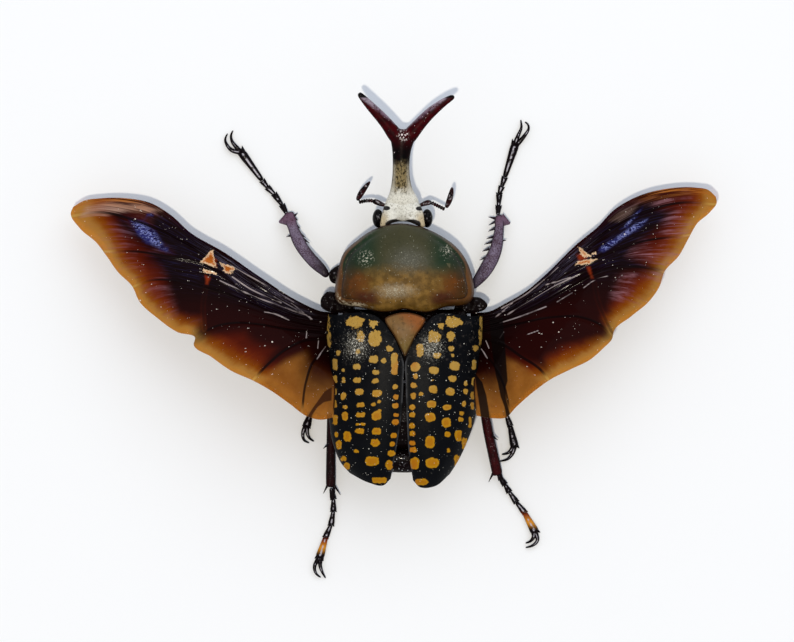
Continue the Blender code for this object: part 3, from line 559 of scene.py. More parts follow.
def head_pale():
    """Greyish cream bloom over darker horn, worn off along creases, with a painted shadow along the
    neck, a few dark spots, and painted shade where the surface turns away from above.
    """
    paint = Paint("head_pale", specular=0.35)
    cloud = paint.noise(0.9, 5.0, 0.65)
    cream = paint.mix(cloud, (0.6, 0.58, 0.48), (0.92, 0.91, 0.86))
    stain = paint.ramp(paint.noise(3.2, 5.0, 0.65, seed=2.0), 0.56, 0.66)
    cream = paint.mix(stain * 0.55, cream, (0.17, 0.13, 0.07))
    off_middle = paint.size(paint.x + 0.3)
    ochre = paint.ramp(off_middle, 1.4, 2.4) * paint.ramp(paint.y, 16.8, 15.2)
    cream = paint.mix(ochre * 0.85, cream, (0.58, 0.45, 0.25))
    # painted shadow: black along the neck where the head meets the shield, together with the dark spots
    neck_shadow_and_spots = paint.ramp(paint.y, 14.8, 14.65) * paint.ramp(paint.size(paint.x + 0.2), 2.4, 2.2)
    for centre, half in HEAD_PATCHES:
        neck_shadow_and_spots = paint.most(neck_shadow_and_spots, paint.ramp(paint.oval(centre, half) + (cloud - 0.5) * 0.35, 1.1, 0.9))
    colour = paint.mix(neck_shadow_and_spots, cream, (0.006, 0.004, 0.004))
    pores = paint.ramp(paint.cells(7.0), 0.3, 0.1)
    scratch = paint.noise(5.0, 3.0, 0.6, at=paint.stretched((0.4, 1.3, 1.0), 0.5), seed=6.0)
    marks = paint.most(pores * 0.3, paint.ramp(scratch, 0.6, 0.68) * 0.5)
    colour = paint.mix(marks * (1.0 - neck_shadow_and_spots), colour, (0.16, 0.13, 0.09))
    stipple = paint.ramp(paint.noise(6.5, 4.0, 0.75, seed=9.0), 0.5, 0.64) * (1.0 - neck_shadow_and_spots)
    colour = paint.mix(stipple * 0.55, colour, STIPPLE)
    # painted shade: darker where the surface turns away from above
    colour = paint.mix(paint.ramp(paint.up, 0.6, 0.15) * 0.7, colour, (0.06, 0.045, 0.03))
    sides = paint.ramp(off_middle, 1.0, 2.2) * 0.6 + 0.3
    colour = paint.mix(paint.specks(3.4, 0.4, 0.09) * sides, colour, (0.03, 0.022, 0.015))
    return paint.finish(colour, cloud * 0.3 + 0.45, cloud - pores * 0.8, 0.06)


def horn_cream(paint, height):
    """Cream of the horn's foot, khaki and specked dark higher up, with painted shade along its flanks.
    """
    white = paint.mix(paint.noise(1.1, 4.0), (0.58, 0.55, 0.45), (0.84, 0.82, 0.74))
    stipple = paint.ramp(paint.noise(6.5, 4.0, 0.75, seed=9.0), 0.48, 0.62)
    white = paint.mix(stipple * 0.6, white, STIPPLE)
    khaki = paint.mix(paint.noise(1.5, 3.0, seed=3.0), (0.15, 0.105, 0.04), (0.31, 0.24, 0.12))
    middle = paint.ramp(paint.size(paint.x + 0.45), 1.15, 0.5)
    colour = paint.mix(paint.ramp(height, 18.2, 19.6) * (middle * 0.55 + 0.45), white, khaki)
    long_grain = paint.noise(6.0, 3.0, 0.65, at=paint.stretched((1.0, 0.45, 1.0)), seed=4.0)
    specks = paint.ramp(long_grain, 0.47, 0.58) * paint.ramp(height, 17.9, 19.2)
    colour = paint.mix(specks * (middle * 0.75 + 0.15), colour, (0.014, 0.01, 0.006))
    # painted shade: darker where the flanks turn away from above
    flanks = paint.ramp(paint.up, 0.75, 0.25) * paint.ramp(height, 18.6, 20.2)
    return paint.mix(flanks * 0.85, colour, (0.03, 0.02, 0.012))


def horn_maroon(paint, wobble):
    """Black to maroon, with a painted lilac sheen and black tips on the prongs, painted shade on their
    sides, a painted reflection on faces turned ahead, and glitter in the fork.
    """
    colour = paint.mix(paint.ramp(paint.y, 23.8, 26.2), (0.0015, 0.001, 0.001),
                       (0.042, 0.0006, 0.0018))
    smoke = paint.ramp(paint.noise(1.2, 4.0, seed=5.0), 0.42, 0.62)
    colour = paint.mix(smoke * 0.7, colour, (0.008, 0.001, 0.0015))
    # painted sheen: lilac along the inner edges of the prongs, towards their tips
    paler_tone = paint.ramp(paint.y - paint.size(paint.x + 0.1) * 0.78, 26.2, 26.75)
    paler_tone = paler_tone * paint.ramp(paint.y, 26.8, 28.8)
    paler_tone = paler_tone * paint.ramp(paint.noise(2.0, 4.0, 0.65, seed=7.0), 0.34, 0.56)
    lilac = paint.mix(paint.ramp(paint.y, 28.8, 30.6), (0.24, 0.16, 0.22), (0.48, 0.4, 0.48))
    colour = paint.mix(paler_tone * 0.6, colour, lilac)
    # painted shade: darker where the surface turns away from above
    colour = paint.mix(paint.ramp(paint.up, 0.75, 0.3), colour, (0.004, 0.0004, 0.0008))
    # painted reflection: paler where the prongs face ahead
    inner = paint.ramp(paint.ahead, 0.3, 0.75) * paint.ramp(paint.y, 26.4, 27.6)
    colour = paint.mix(inner * paint.ramp(wobble, 0.3, 0.5) * 0.8, colour, (0.36, 0.3, 0.36))
    colour = paint.mix(paint.ramp(paint.y, 30.7, 31.0), colour, (0.003, 0.002, 0.002))
    glitter = paint.ramp(paint.noise(4.5, 3.0, 0.6, seed=8.0), 0.52, 0.58)
    glitter = glitter * paint.ramp(paint.oval((-0.1, 26.0)), 0.95, 0.35)
    bright = paint.most(glitter, dust(paint, 0.025, 3.0, 0.08))
    return paint.mix(bright, colour, (0.85, 0.72, 0.7))


def horn_two_tone():
    """Cream towards the head, glossy black to maroon towards the prongs."""
    paint = Paint("horn_two_tone", coat_roughness=0.08, specular=0.03)
    wobble = paint.noise(1.6, 4.0, seed=1.0)
    height = paint.y + (wobble - 0.5) * 1.8
    blend = paint.ramp(height, 21.6, 23.1)
    colour = paint.mix(blend, horn_cream(paint, height), horn_maroon(paint, wobble))
    return paint.finish(colour, 0.5 - blend * 0.2, paint.noise(5.0, 4.0), 0.015, coat=blend * 0.04)


def shield_front(paint, cloud, dome):
    """Olive-black, greener at the sides, with a dull gleam on the dome."""
    colour = paint.mix(cloud, (0.03, 0.031, 0.012), (0.065, 0.058, 0.027))
    sides = paint.ramp(paint.size(paint.x), 2.2, 5.0) * paint.ramp(paint.y, 7.5, 9.5)
    colour = paint.mix(sides * 0.85, colour, (0.006, 0.026, 0.011))
    return paint.mix(dome * 0.5, colour, (0.115, 0.11, 0.09))


def shield_rear(paint, blotch, shine):
    """Warm brown, darker at the sides, with a red glow, a dull shine and dark red patches."""
    colour = paint.mix(paint.ramp(blotch, 0.35, 0.65), (0.1, 0.05, 0.007), (0.2, 0.105, 0.02))
    off_middle = paint.size(paint.x)
    colour = paint.mix(paint.ramp(off_middle, 3.2, 6.8) * 0.8, colour, (0.045, 0.02, 0.003))
    glow = paint.oval((6.4, 6.3), (2.2, 2.6), off_middle)
    glow = paint.ramp(glow + (blotch - 0.5) * 1.4, 1.2, 0.1)
    colour = paint.mix(glow * 0.65, colour, (0.17, 0.045, 0.003))
    colour = paint.mix(shine * 0.6, colour, (0.3, 0.23, 0.14))
    red = paint.ramp(paint.size(off_middle - 4.9), 2.4, 0.5)
    red = red * paint.ramp(paint.size(paint.y - 4.9), 1.3, 0.3)
    return paint.mix(red * 0.8, colour, (0.05, 0.008, 0.004))


def shield_rim(paint, colour, blotch):
    """Tan bead along the sides, cream at the left hind corner, a groove darkened with painted shade, and
    a dark hem.
    """
    inset = paint.attribute("inset")
    side = paint.ramp(paint.size(paint.x), 4.0, 7.6) * paint.ramp(paint.y, 3.9, 4.9)
    narrowed = inset / (paint.ramp(paint.y, 9.5, 6.5) * 0.6 + 0.45)
    tan = paint.mix(paint.noise(0.8, 3.0, seed=6.0), (0.045, 0.02, 0.008), (0.2, 0.075, 0.015))
    colour = paint.mix(paint.ramp(narrowed, 1.1, 0.9) * side * 0.85, colour, tan)
    cream = paint.ramp(inset + (blotch - 0.5) * 1.2, 0.75, 0.4) * paint.ramp(paint.y, 5.9, 4.7)
    cream = cream * paint.ramp(paint.x, -3.4, -6.2)
    cream = cream * paint.ramp(paint.noise(2.2, 4.0, 0.65, seed=8.0), 0.46, 0.56)
    colour = paint.mix(cream, colour, (0.6, 0.5, 0.34))
    # painted shade: the groove inside the bead darkened
    groove = paint.ramp(inset, 0.85, 0.95) * paint.ramp(inset, 1.1, 0.98) * side
    colour = paint.mix(groove * 0.85, colour, (0.008, 0.004, 0.002))
    return paint.mix(paint.ramp(inset, 0.22, 0.1) * 0.85, colour, (0.03, 0.007, 0.004))


def shield_olive():
    """Green-black in front, warm brown behind, tan along the rim, with worn dust and painted glitter by
    the gleams.
    """
    paint = Paint("shield_olive", coat=0.08, coat_roughness=0.32, specular=0.08)
    cloud = paint.noise(0.35, 3.0)
    blotch = paint.noise(1.1, 4.0, seed=12.0)
    grain = paint.noise(2.4, 5.0, 0.7, seed=15.0)
    dome = paint.ramp(paint.oval((0.6, 9.6), (3.0, 2.4)) + (grain - 0.5) * 0.9, 1.2, 0.1)
    shine = paint.ramp(paint.oval((-1.2, 5.8), (3.4, 1.3)) + (grain - 0.5) * 1.2, 1.1, 0.1)
    back = paint.ramp(paint.y + (cloud - 0.5) * 3.0, 9.9, 6.8)
    colour = paint.mix(back, shield_front(paint, cloud, dome), shield_rear(paint, blotch, shine))
    gloom = paint.ramp(paint.size(paint.x), 4.6, 7.6) * paint.ramp(blotch, 0.25, 0.6)
    colour = paint.mix(gloom * 0.5, colour, (0.008, 0.007, 0.003))
    colour = shield_rim(paint, colour, blotch)
    wear = paint.ramp(paint.noise(1.3, 6.0, 0.7, seed=9.0), 0.58, 0.68)
    wear = wear * paint.ramp(paint.noise(0.4, 2.0, seed=10.0), 0.48, 0.62)
    colour = paint.mix(wear * 0.5, colour, (0.16, 0.13, 0.07))
    grime = paint.ramp(paint.noise(3.5, 6.0, 0.75, seed=16.0), 0.5, 0.7)
    colour = paint.mix(grime * 0.4, colour, (0.004, 0.004, 0.002))
    # painted glitter: pale flecks by the painted gleams, and two clusters of glitter, laid together with
    # the dust
    gleam = paint.most(shine, dome * 0.6)
    flecks = paint.ramp(paint.noise(5.0, 5.0, 0.8, seed=18.0) + gleam * 0.07, 0.58, 0.66) * gleam
    cluster = paint.least(paint.oval((-5.0, 10.1)), paint.oval((5.4, 11.0)) * 1.3)
    glitter = paint.ramp(paint.noise(5.0, 3.0, seed=14.0), 0.54, 0.62) * paint.ramp(cluster, 1.5, 0.3)
    glitter = paint.most(glitter * 0.8, flecks * 0.5)
    bright = paint.most(dust(paint, 0.06, 2.6, 0.07), glitter)
    colour = paint.mix(bright, colour, (0.6, 0.58, 0.45))
    pits = paint.ramp(paint.cells(6.5), 0.28, 0.05)
    rough = cloud * 0.15 + 0.4 + wear * 0.2
    return paint.finish(colour, rough, paint.noise(5.0, 3.0) * 0.6 - pits * 0.5, 0.03)


def scutellum_tan():
    """Scratched and blotted tan, redder at the right, olive at the point, with a dark hem."""
    paint = Paint("scutellum_tan", coat=0.05, coat_roughness=0.3, specular=0.08)
    cloud = paint.noise(0.9, 4.0)
    colour = paint.mix(cloud, (0.12, 0.058, 0.016), (0.22, 0.12, 0.04))
    reddened = paint.ramp(paint.x + paint.y + (cloud - 0.5) * 1.5, 1.0, 3.4)
    colour = paint.mix(reddened * 0.8, colour, (0.25, 0.07, 0.012))
    colour = paint.mix(paint.ramp(paint.y, 0.6, -1.6) * 0.7, colour, (0.14, 0.095, 0.022))
    hem = paint.ramp(paint.attribute("inset"), 0.3, 0.08)
    colour = paint.mix(hem * 0.8, colour, (0.035, 0.009, 0.003))
    scratch = paint.noise(3.0, 4.0, at=paint.stretched((1.0, 0.3, 1.0)), seed=2.0)
    colour = paint.mix(paint.ramp(scratch, 0.6, 0.72) * 0.4, colour, (0.4, 0.27, 0.14))
    blots = paint.ramp(paint.noise(1.6, 5.0, 0.7, seed=5.0), 0.5, 0.66)
    colour = paint.mix(blots * 0.55, colour, (0.05, 0.028, 0.008))
    colour = paint.mix(dust(paint, 0.05, 3.0, 0.07), colour, (0.55, 0.5, 0.42))
    return paint.finish(colour, cloud * 0.2 + 0.35, paint.noise(6.0, 4.0), 0.02)


CASE_DUST_AND_GLINT = (0.75, 0.72, 0.62)


def case_ochre(paint, ragged):
    """The spots' ochre, yellower near the base, with redder hearts and seam row, mottled."""
    shift = paint.noise(0.9, 3.0, seed=2.0)
    behind = paint.mix(shift, (0.36, 0.15, 0.003), (0.48, 0.24, 0.008))
    ahead = paint.mix(shift, (0.34, 0.18, 0.022), (0.48, 0.3, 0.075))
    ochre = paint.mix(paint.ramp(paint.y, -13.0, -3.0), behind, ahead)
    heart = paint.ramp(paint.attribute("spot"), -0.12, -0.4) * paint.ramp(paint.y, -6.0, -9.0)
    ochre = paint.mix(heart * 0.5, ochre, (0.34, 0.1, 0.004))
    seam_row = paint.ramp(paint.size(paint.x), 2.1, 1.2)
    seam_row = seam_row * paint.ramp(paint.noise(0.5, 2.0, seed=6.0), 0.35, 0.6)
    ochre = paint.mix(seam_row * 0.5, ochre, (0.4, 0.11, 0.008))
    mottle = paint.ramp(paint.noise(7.0, 3.0, 0.65, seed=9.0), 0.54, 0.7)
    return paint.mix(mottle * (ragged * 0.5 + 0.2), ochre, (0.06, 0.03, 0.008))


def case_spotted(name):
    """Blue-black with ochre spots whose edges the piece carries as distances, rubbed grey patches, dust,
    a painted glare with glints and a painted highlight along the seam.
    """
    paint = Paint(name, coat=0.02, coat_roughness=0.32, specular=0.025)
    ragged = paint.ramp(paint.y, -3.0, 1.0)
    fray = (paint.noise(1.8, 3.0, 0.55) - 0.5) * (ragged * 0.9 + 0.55)
    fray = fray + (paint.noise(7.0, 3.0, seed=4.0) - 0.5) * (ragged * 0.3 + 0.12)
    spot = paint.ramp(paint.attribute("spot") + fray + 0.03, 0.06, -0.06)
    cloud = paint.noise(0.6, 4.0)
    black = paint.mix(cloud, (0.0015, 0.0018, 0.002), (0.0045, 0.005, 0.007))
    # rubbed grey patches towards the base
    pale_patches = paint.ramp(paint.noise(1.8, 6.0, 0.7, seed=7.0), 0.55, 0.66) * paint.ramp(paint.y, -8.0, 0.0)
    black = paint.mix(pale_patches * 0.6, black, (0.06, 0.05, 0.042))
    colour = paint.mix(spot, black, case_ochre(paint, ragged))
    # painted glare: a milky film with bright flecks over each case, standing for a highlight
    glare = paint.least(paint.oval((-6.2, -1.3), (2.4, 2.6)), paint.oval((3.5, -1.5), (2.2, 2.4)))
    glare = paint.ramp(glare, 1.25, 0.15)
    film = paint.ramp(paint.noise(3.4, 6.0, 0.8, seed=11.0) + glare * 0.12, 0.5, 0.68) * glare
    colour = paint.mix(film * 0.25, colour, (0.2, 0.18, 0.135))
    flecks = paint.ramp(paint.noise(4.6, 5.0, 0.85, seed=13.0) + glare * 0.09, 0.62, 0.66) * glare
    colour = paint.mix(flecks * 0.9, colour, CASE_DUST_AND_GLINT)
    # painted highlight: a pale line along the seam
    seam = paint.ramp(paint.attribute("seam"), 0.26, 0.1) * paint.ramp(paint.y, -2.4, -3.4)
    colour = paint.mix(seam * paint.ramp(cloud, 0.35, 0.6) * 0.4, colour, (0.09, 0.09, 0.095))
    # pale dust specks all over, and painted glints crowded in the glare
    dust_and_glints = paint.most(dust(paint, 0.04, 2.6, 0.09), dust(paint, 0.12, 4.0, 0.07) * glare)
    colour = paint.mix(dust_and_glints, colour, CASE_DUST_AND_GLINT)
    pits = paint.ramp(paint.cells(4.6), 0.3, 0.08)
    fine = paint.noise(8.0, 3.0, seed=3.0)
    rough = cloud * 0.2 + 0.3 + spot * 0.12
    return paint.finish(colour, rough, fine * 0.45 - pits * 0.6 + spot * 0.25, 0.05)


# the membrane's colours from the hind margin inwards: where each takes over from the last, in
# mm from the margin, and its colours between and on the streaks
WING_BANDS = [((0.2, 1.6), (0.17, 0.033, 0.001), (0.29, 0.08, 0.004)),
              ((1.2, 2.5), (0.085, 0.008, 0.0008), (0.17, 0.024, 0.002)),
              ((2.1, 3.5), (0.036, 0.0025, 0.0006), (0.095, 0.008, 0.001)),
              ((3.2, 5.8), (0.014, 0.001, 0.0005), (0.05, 0.004, 0.001))]


class WingPaint(Paint):
    """The membrane's material, with the streaks that follow its veins."""

    def __init__(self):
        super().__init__("wing_brown", coat=0.035, coat_roughness=0.08, specular=0.01)
        self.across = self.attribute("across")      # counts the veins from the front edge
        self.out = self.attribute("out")            # 0 at the root, 1 at the margin
        flow = self.joined(self.across * 5.0, self.out * 2.2)
        self.streak = self.noise(1.0, 5.0, 0.62, at=flow)
        self.fine = self.noise(3.5, 4.0, 0.65, at=flow, seed=2.0)
        self.cloud = self.noise(0.25, 4.0)
        self.right = self.ramp(self.x, -1.0, 1.0)   # 0 on the left wing, 1 on the right one


def wing_reach(paint):
    """Ragged distance in from the hind margin, shortened towards the tip."""
    reach = paint.attribute("edge") * (1.0 - paint.ramp(paint.across, 3.6, 4.4) * 0.12)
    reach = reach + (paint.noise(0.35, 4.0, seed=1.0) - 0.5) * 1.4 + (paint.fine - 0.5) * 1.0
    return reach * (1.0 - paint.ramp(paint.size(paint.x), 35.5, 41.5) * 0.55)


def wing_field(paint, reach):
    """Amber at the hind margin, then orange, rust, red and deep red."""
    colour = paint.mix(paint.cloud, (0.36, 0.18, 0.025), (0.5, 0.29, 0.08))
    for (begins, ends), shade, light in WING_BANDS:
        band = paint.mix(paint.streak, shade, light)
        colour = paint.mix(paint.ramp(reach, begins, ends), colour, band)
    return colour


def wing_black(paint):
    """Black by the front veins, redder behind them, with thin navy streaks painted as a sheen."""
    black = paint.mix(paint.fine, (0.0006, 0.0003, 0.0004), (0.008, 0.001, 0.001))
    behind = paint.ramp(paint.across, 2.9, 3.9) * paint.ramp(paint.out, 0.15, 0.5)
    black = paint.mix(behind * (paint.streak * 0.8 + 0.4), black, (0.015, 0.0012, 0.0008))
    # painted sheen: thin navy streaks near the front veins
    navy = paint.ramp(paint.fine, 0.48, 0.64) * paint.ramp(paint.across, 3.4, 2.4)
    navy = navy * paint.ramp(paint.out, 0.15, 0.3)
    return paint.mix(navy * 0.7, black, (0.01, 0.009, 0.035))


def wing_painted_sheen(paint, colour):
    """Painted sheen, standing for reflections: mauve between the outer veins and coppery by the tip."""
    # painted sheen: mauve streaks between the outer veins
    paler_tone = paint.ramp(paint.streak * 0.5 + paint.fine * 0.5, 0.46, 0.66)
    paler_tone = paler_tone * paint.ramp(paint.out, 0.6, 0.75) * paint.ramp(paint.across, 4.2, 3.4)
    paler_tone = paler_tone * paint.ramp(paint.attribute("dark"), 1.0, -0.6) * paint.ramp(paint.cloud, 0.4, 0.6)
    colour = paint.mix(paler_tone * (paint.right * 0.4 + 0.35), colour, (0.33, 0.15, 0.18))
    sheen = paint.ramp(paint.attribute("sheen") + (paint.fine - 0.5) * 1.2, -0.4, 0.5)
    sheen = sheen * (0.75 - paint.right * 0.5)
    return paint.mix(sheen * paint.ramp(paint.fine, 0.3, 0.62), colour, (0.45, 0.27, 0.2))


def wing_lens(paint, colour, lens):
    """The blue gleam, creased, and brightest along the creases of its heart."""
    creases = paint.noise(1.0, 4.0, 0.7, at=paint.stretched((1.0, 2.6, 1.0), 0.8), seed=8.0)
    ridges = paint.ramp(paint.size(creases - 0.5), 0.045, 0.005)
    heart = paint.ramp(paint.attribute("lens") * (paint.right + 1.0), 0.0, 0.9)
    colour = paint.mix(lens * 0.9, colour, (0.006, 0.006, 0.045))
    colour = paint.mix(lens * paint.ramp(creases, 0.48, 0.62) * 0.6, colour, (0.028, 0.03, 0.17))
    return paint.mix(heart * ridges * 0.9, colour, (0.24, 0.27, 0.6))


def wing_lines(paint, colour, vein):
    """Dark veins and fold, a painted lilac sheen along the front, broken pale lines painted as
    highlights, and a tan rib by the tip.
    """
    fold = paint.ramp(paint.attribute("fold"), 0.28, 0.1)
    lines = paint.most(vein * paint.ramp(paint.out, 0.99, 0.85) * 0.9, fold * 0.5)
    colour = paint.mix(lines, colour, (0.004, 0.001, 0.001))
    # painted sheen: a lilac band along the front veins
    front = paint.ramp(paint.across, 0.04, 0.2) * paint.ramp(paint.across, 2.8, 0.6)
    front = front * paint.ramp(paint.out, 0.06, 0.16) * paint.ramp(paint.out, 0.58, 0.44)
    front = front * paint.ramp(paint.fine, 0.5, 0.64)
    colour = paint.mix(front * 0.7, colour, (0.16, 0.135, 0.2))
    # painted highlights: broken pale lines along the veins
    pale = paint.ramp(paint.attribute("pale"), 0.09, 0.03)
    pale = pale * paint.ramp(paint.noise(0.35, 5.0, seed=5.0), 0.34, 0.52)
    colour = paint.mix(pale * 0.85, colour, (0.34, 0.28, 0.28))
    rib = paint.ramp(paint.across, 0.7, 0.1) * paint.ramp(paint.out, 0.66, 0.85)
    return paint.mix(rib * paint.ramp(paint.fine, 0.42, 0.6) * 0.85, colour, (0.4, 0.13, 0.02))


def wing_brown():
    """Smoky membrane: black by the front veins, red-brown beyond, clear amber at the margin."""
    paint = WingPaint()
    reach = wing_reach(paint)
    lobe = paint.ramp(paint.attribute("lobe") + (paint.streak - 0.5), -0.6, 0.8)
    root = paint.ramp(paint.size(paint.x), 14.6, 11.6)
    root = root * paint.ramp(paint.y + (paint.cloud - 0.5) * 2.0, -9.4, -4.4)
    dark = paint.ramp(paint.attribute("dark") + (paint.streak - 0.5) * 1.8, -1.3, 0.9)
    lens = paint.ramp(paint.attribute("lens") + (paint.noise(1.2, 4.0) - 0.5) * 0.8, -0.2, 0.6)
    from_vein = paint.size(paint.across - paint.maths("ROUND", paint.across))
    vein = paint.ramp(from_vein * paint.attribute("width"), 0.22, 0.08)
    vein = vein * paint.ramp(paint.across, 0.6, 1.0)
    depth = paint.attribute("cream") + (paint.noise(3.0, 5.0, 0.7) - 0.5) * 1.0
    cream = paint.ramp(depth, -0.02, 0.06)
    motes = paint.most(dust(paint, 0.014, 1.4, 0.14), dust(paint, 0.014, 3.2, 0.07))
    shade = paint.ramp(paint.attribute("shade"), -0.05, 0.1)

    tan = paint.mix(paint.noise(0.6, 5.0, 0.6, seed=3.0), (0.15, 0.045, 0.004), (0.42, 0.18, 0.035))
    colour = paint.mix(lobe * 0.9, wing_field(paint, reach), tan)
    colour = paint.mix(root * 0.95, colour, (0.026, 0.0035, 0.001))
    beside_fold = paint.ramp(paint.attribute("fold"), 0.1, 0.5)
    colour = paint.mix(dark * (beside_fold * 0.25 + 0.73), colour, wing_black(paint))
    colour = wing_painted_sheen(paint, colour)
    colour = wing_lens(paint, colour, lens)
    colour = wing_lines(paint, colour, vein)
    ember = paint.ramp(paint.attribute("ember") + (paint.streak - 0.5) * 0.6, -0.2, 0.35)
    colour = paint.mix(ember * 0.7, colour, (0.32, 0.035, 0.004))
    scar = paint.mix(paint.ramp(depth, 0.1, 0.32), (0.68, 0.46, 0.28), (0.42, 0.11, 0.012))
    colour = paint.mix(cream, colour, scar)
    colour = paint.mix(motes, colour, (0.7, 0.62, 0.55))
    beneath = paint.mix(paint.right, (0.035, 0.009, 0.002), (0.003, 0.0015, 0.0015))
    colour = paint.mix(shade * 0.95, colour, beneath)

    clear = paint.most(paint.ramp(reach, 1.6, 0.0) * 0.55, paint.ramp(reach, 3.0, 0.8) * 0.25)
    clear = paint.most(clear, lobe * 0.34)
    solid = shade
    for cover in (dark, root, cream, motes, vein):
        solid = paint.most(solid, cover)
    paint.film((0.9, 0.5, 0.08), clear * (1.0 - solid))
    wrinkle = paint.joined(paint.across * 7.0, paint.out * 9.0)
    wrinkle = paint.noise(1.4, 4.0, 0.6, at=wrinkle, seed=6.0)
    puckered = lens * paint.noise(7.0, 3.0, 0.7, seed=8.0)
    return paint.finish(colour, paint.streak * 0.1 + 0.25 + lens * 0.1, wrinkle + puckered, 0.015)


def ground_white():
    """Matt white paper, a little uneven."""
    paint = Paint("ground_white", roughness=0.9, specular=0.1)
    cloud = paint.noise(0.02, 2.0)
    return paint.finish(paint.mix(cloud, (0.885, 0.89, 0.905), (0.9, 0.905, 0.915)))


# Head, horn, eyes and antennae

HEAD_OUTLINE = [(-3.0, 14.1), (-1.4, 14.75), (-0.3, 14.9), (0.8, 14.75), (2.5, 14.1), (2.75, 15.0),
                (2.45, 16.0), (2.1, 16.9), (1.55, 17.7), (-0.3, 18.1), (-2.15, 17.7), (-2.65, 16.9),
                (-2.9, 16.0), (-3.25, 15.0)]
HORN_STEM = [(-0.33, 15.2, 6.0, 1.2, 0.8), (-0.33, 16.2, 6.35, 2.0, 1.15),
             (-0.3, 17.1, 6.7, 2.35, 1.35), (-0.31, 17.8, 6.9, 2.1, 1.3),
             (-0.36, 18.4, 7.05, 1.75, 1.2), (-0.4, 19.0, 7.15, 1.45, 1.1),
             (-0.45, 20.3, 7.4, 1.18, 1.0), (-0.45, 21.7, 7.6, 1.1, 0.93),
             (-0.43, 22.9, 7.8, 1.12, 0.9), (-0.38, 24.2, 8.05, 1.25, 0.9),
             (-0.3, 25.3, 8.25, 1.55, 0.85), (-0.2, 26.2, 8.4, 1.75, 0.75),
             (-0.17, 26.9, 8.5, 0.9, 0.5)]
PRONGS = [[(-0.6, 25.2, 8.2, 1.0, 0.75), (-1.45, 26.4, 8.4, 1.02, 0.75),
           (-2.27, 27.5, 8.7, 0.84, 0.68), (-3.2, 28.56, 8.95, 0.77, 0.6),
           (-4.38, 29.75, 9.3, 0.65, 0.5), (-5.2, 30.65, 9.6, 0.52, 0.42),
           (-5.8, 31.3, 9.8, 0.4, 0.34), (-5.98, 31.5, 9.87, 0.24, 0.22)],
          [(0.1, 25.2, 8.2, 1.0, 0.75), (1.0, 26.4, 8.4, 1.02, 0.75), (1.9, 27.45, 8.7, 0.84, 0.68),
           (3.2, 28.85, 9.05, 0.77, 0.6), (4.4, 29.8, 9.35, 0.64, 0.48),
           (5.3, 30.45, 9.6, 0.52, 0.42), (6.2, 30.95, 9.8, 0.4, 0.34),
           (6.48, 31.1, 9.87, 0.24, 0.22)]]
EYE_HALF = (0.72, 1.2, 1.05)
EYES = {"l": (-3.45, 15.3, 6.3), "r": (2.95, 15.3, 6.3)}
SCAPES = {
    "l": [(-2.3, 16.9, 5.9, 0.2, 0.2), (-3.0, 17.15, 5.8, 0.3, 0.28),
          (-3.7, 17.45, 5.7, 0.42, 0.38), (-4.2, 17.6, 5.7, 0.24, 0.24)],
    "r": [(1.8, 16.9, 5.9, 0.2, 0.2), (2.45, 17.15, 5.8, 0.3, 0.28), (3.05, 17.4, 5.7, 0.42, 0.38),
          (3.6, 17.35, 5.7, 0.24, 0.24)],
}
FUNICLES = {"l": [(-4.1, 17.6, 5.7), (-5.0, 17.6, 5.65), (-5.9, 17.4, 5.55)],
            "r": [(3.5, 17.35, 5.7), (4.4, 16.9, 5.65), (5.2, 16.5, 5.55)]}
CLUBS = {"l": ((-6.15, 17.6, 5.6), (-4.45, 20.1, 6.4)), "r": ((5.4, 16.65, 5.6), (6.2, 19.4, 6.4))}

BEADS = 6                               # of each antenna's thin part
CLUB_LEAVES = ((-0.24, 0.34), (0.0, 0.4), (0.24, 0.3))      # each leaf's lift and half width
CLUB_SWELL = ((0.0, 0.45), (0.12, 0.8), (0.4, 1.1), (0.8, 0.75), (1.0, 0.35))
CLUB_BOW = 0.18
LEAF_HALF = 0.1                         # half thickness


def head_relief(x, y, z, out, upper):
    """A shallow trough down the middle, raised side ridges and the swelling under the horn."""
    ridge = 0.22 * np.exp(-((np.abs(x + 0.3) - 1.9) / 0.35) ** 2)
    trough = 0.22 * np.exp(-((x + 0.3) / 0.9) ** 2)
    root = 0.55 * np.clip((y - 15.4) / 2.0, 0.0, 1.0) * np.exp(-((x + 0.36) / 1.7) ** 2)
    return z + np.where(upper, (ridge - trough + root) * (1 - out ** 6), 0.0)


def build_head():
    head = mould(HEAD_OUTLINE, 5.6, 6.7, 0.9, 1.1, 80, 48, 0.36, head_relief)
    settle(head, "head", head_pale())


def build_horn():
    """Stem and prongs melted into one skin."""
    stem = grow(HORN_STEM, 20, 2)
    prongs = [grow(prong, 16, 2) for prong in PRONGS]
    horn = join("horn", [stem] + prongs)
    modify(horn, "REMESH", mode="VOXEL", voxel_size=0.09)
    modify(horn, "SMOOTH", factor=0.7, iterations=14)
    settle(horn, "horn", horn_two_tone(), ["horn_stem", "horn_prong_l", "horn_prong_r"])


def build_eye(side, paint):
    deselect()
    bpy.ops.mesh.primitive_uv_sphere_add(segments=40, ring_count=24, radius=1.0,
                                         location=EYES[side], scale=EYE_HALF)
    settle(bpy.context.object, "eye_" + side, paint)


def build_antenna(side, paint):
    """A thick first joint, then six beads that overlap a little."""
    pieces = [grow(SCAPES[side], 12, 2)]
    beads = along(FUNICLES[side], BEADS + 1)
    for a, b in zip(beads[:-1], beads[1:]):
        pieces.append(grow([(*a, 0.2, 0.18), (*(a + (b - a) * 0.6), 0.3, 0.26),
                            (*(a + (b - a) * 1.15), 0.27, 0.22)], 10, 1))
    settle(join("antenna", pieces), "antenna_" + side, paint)


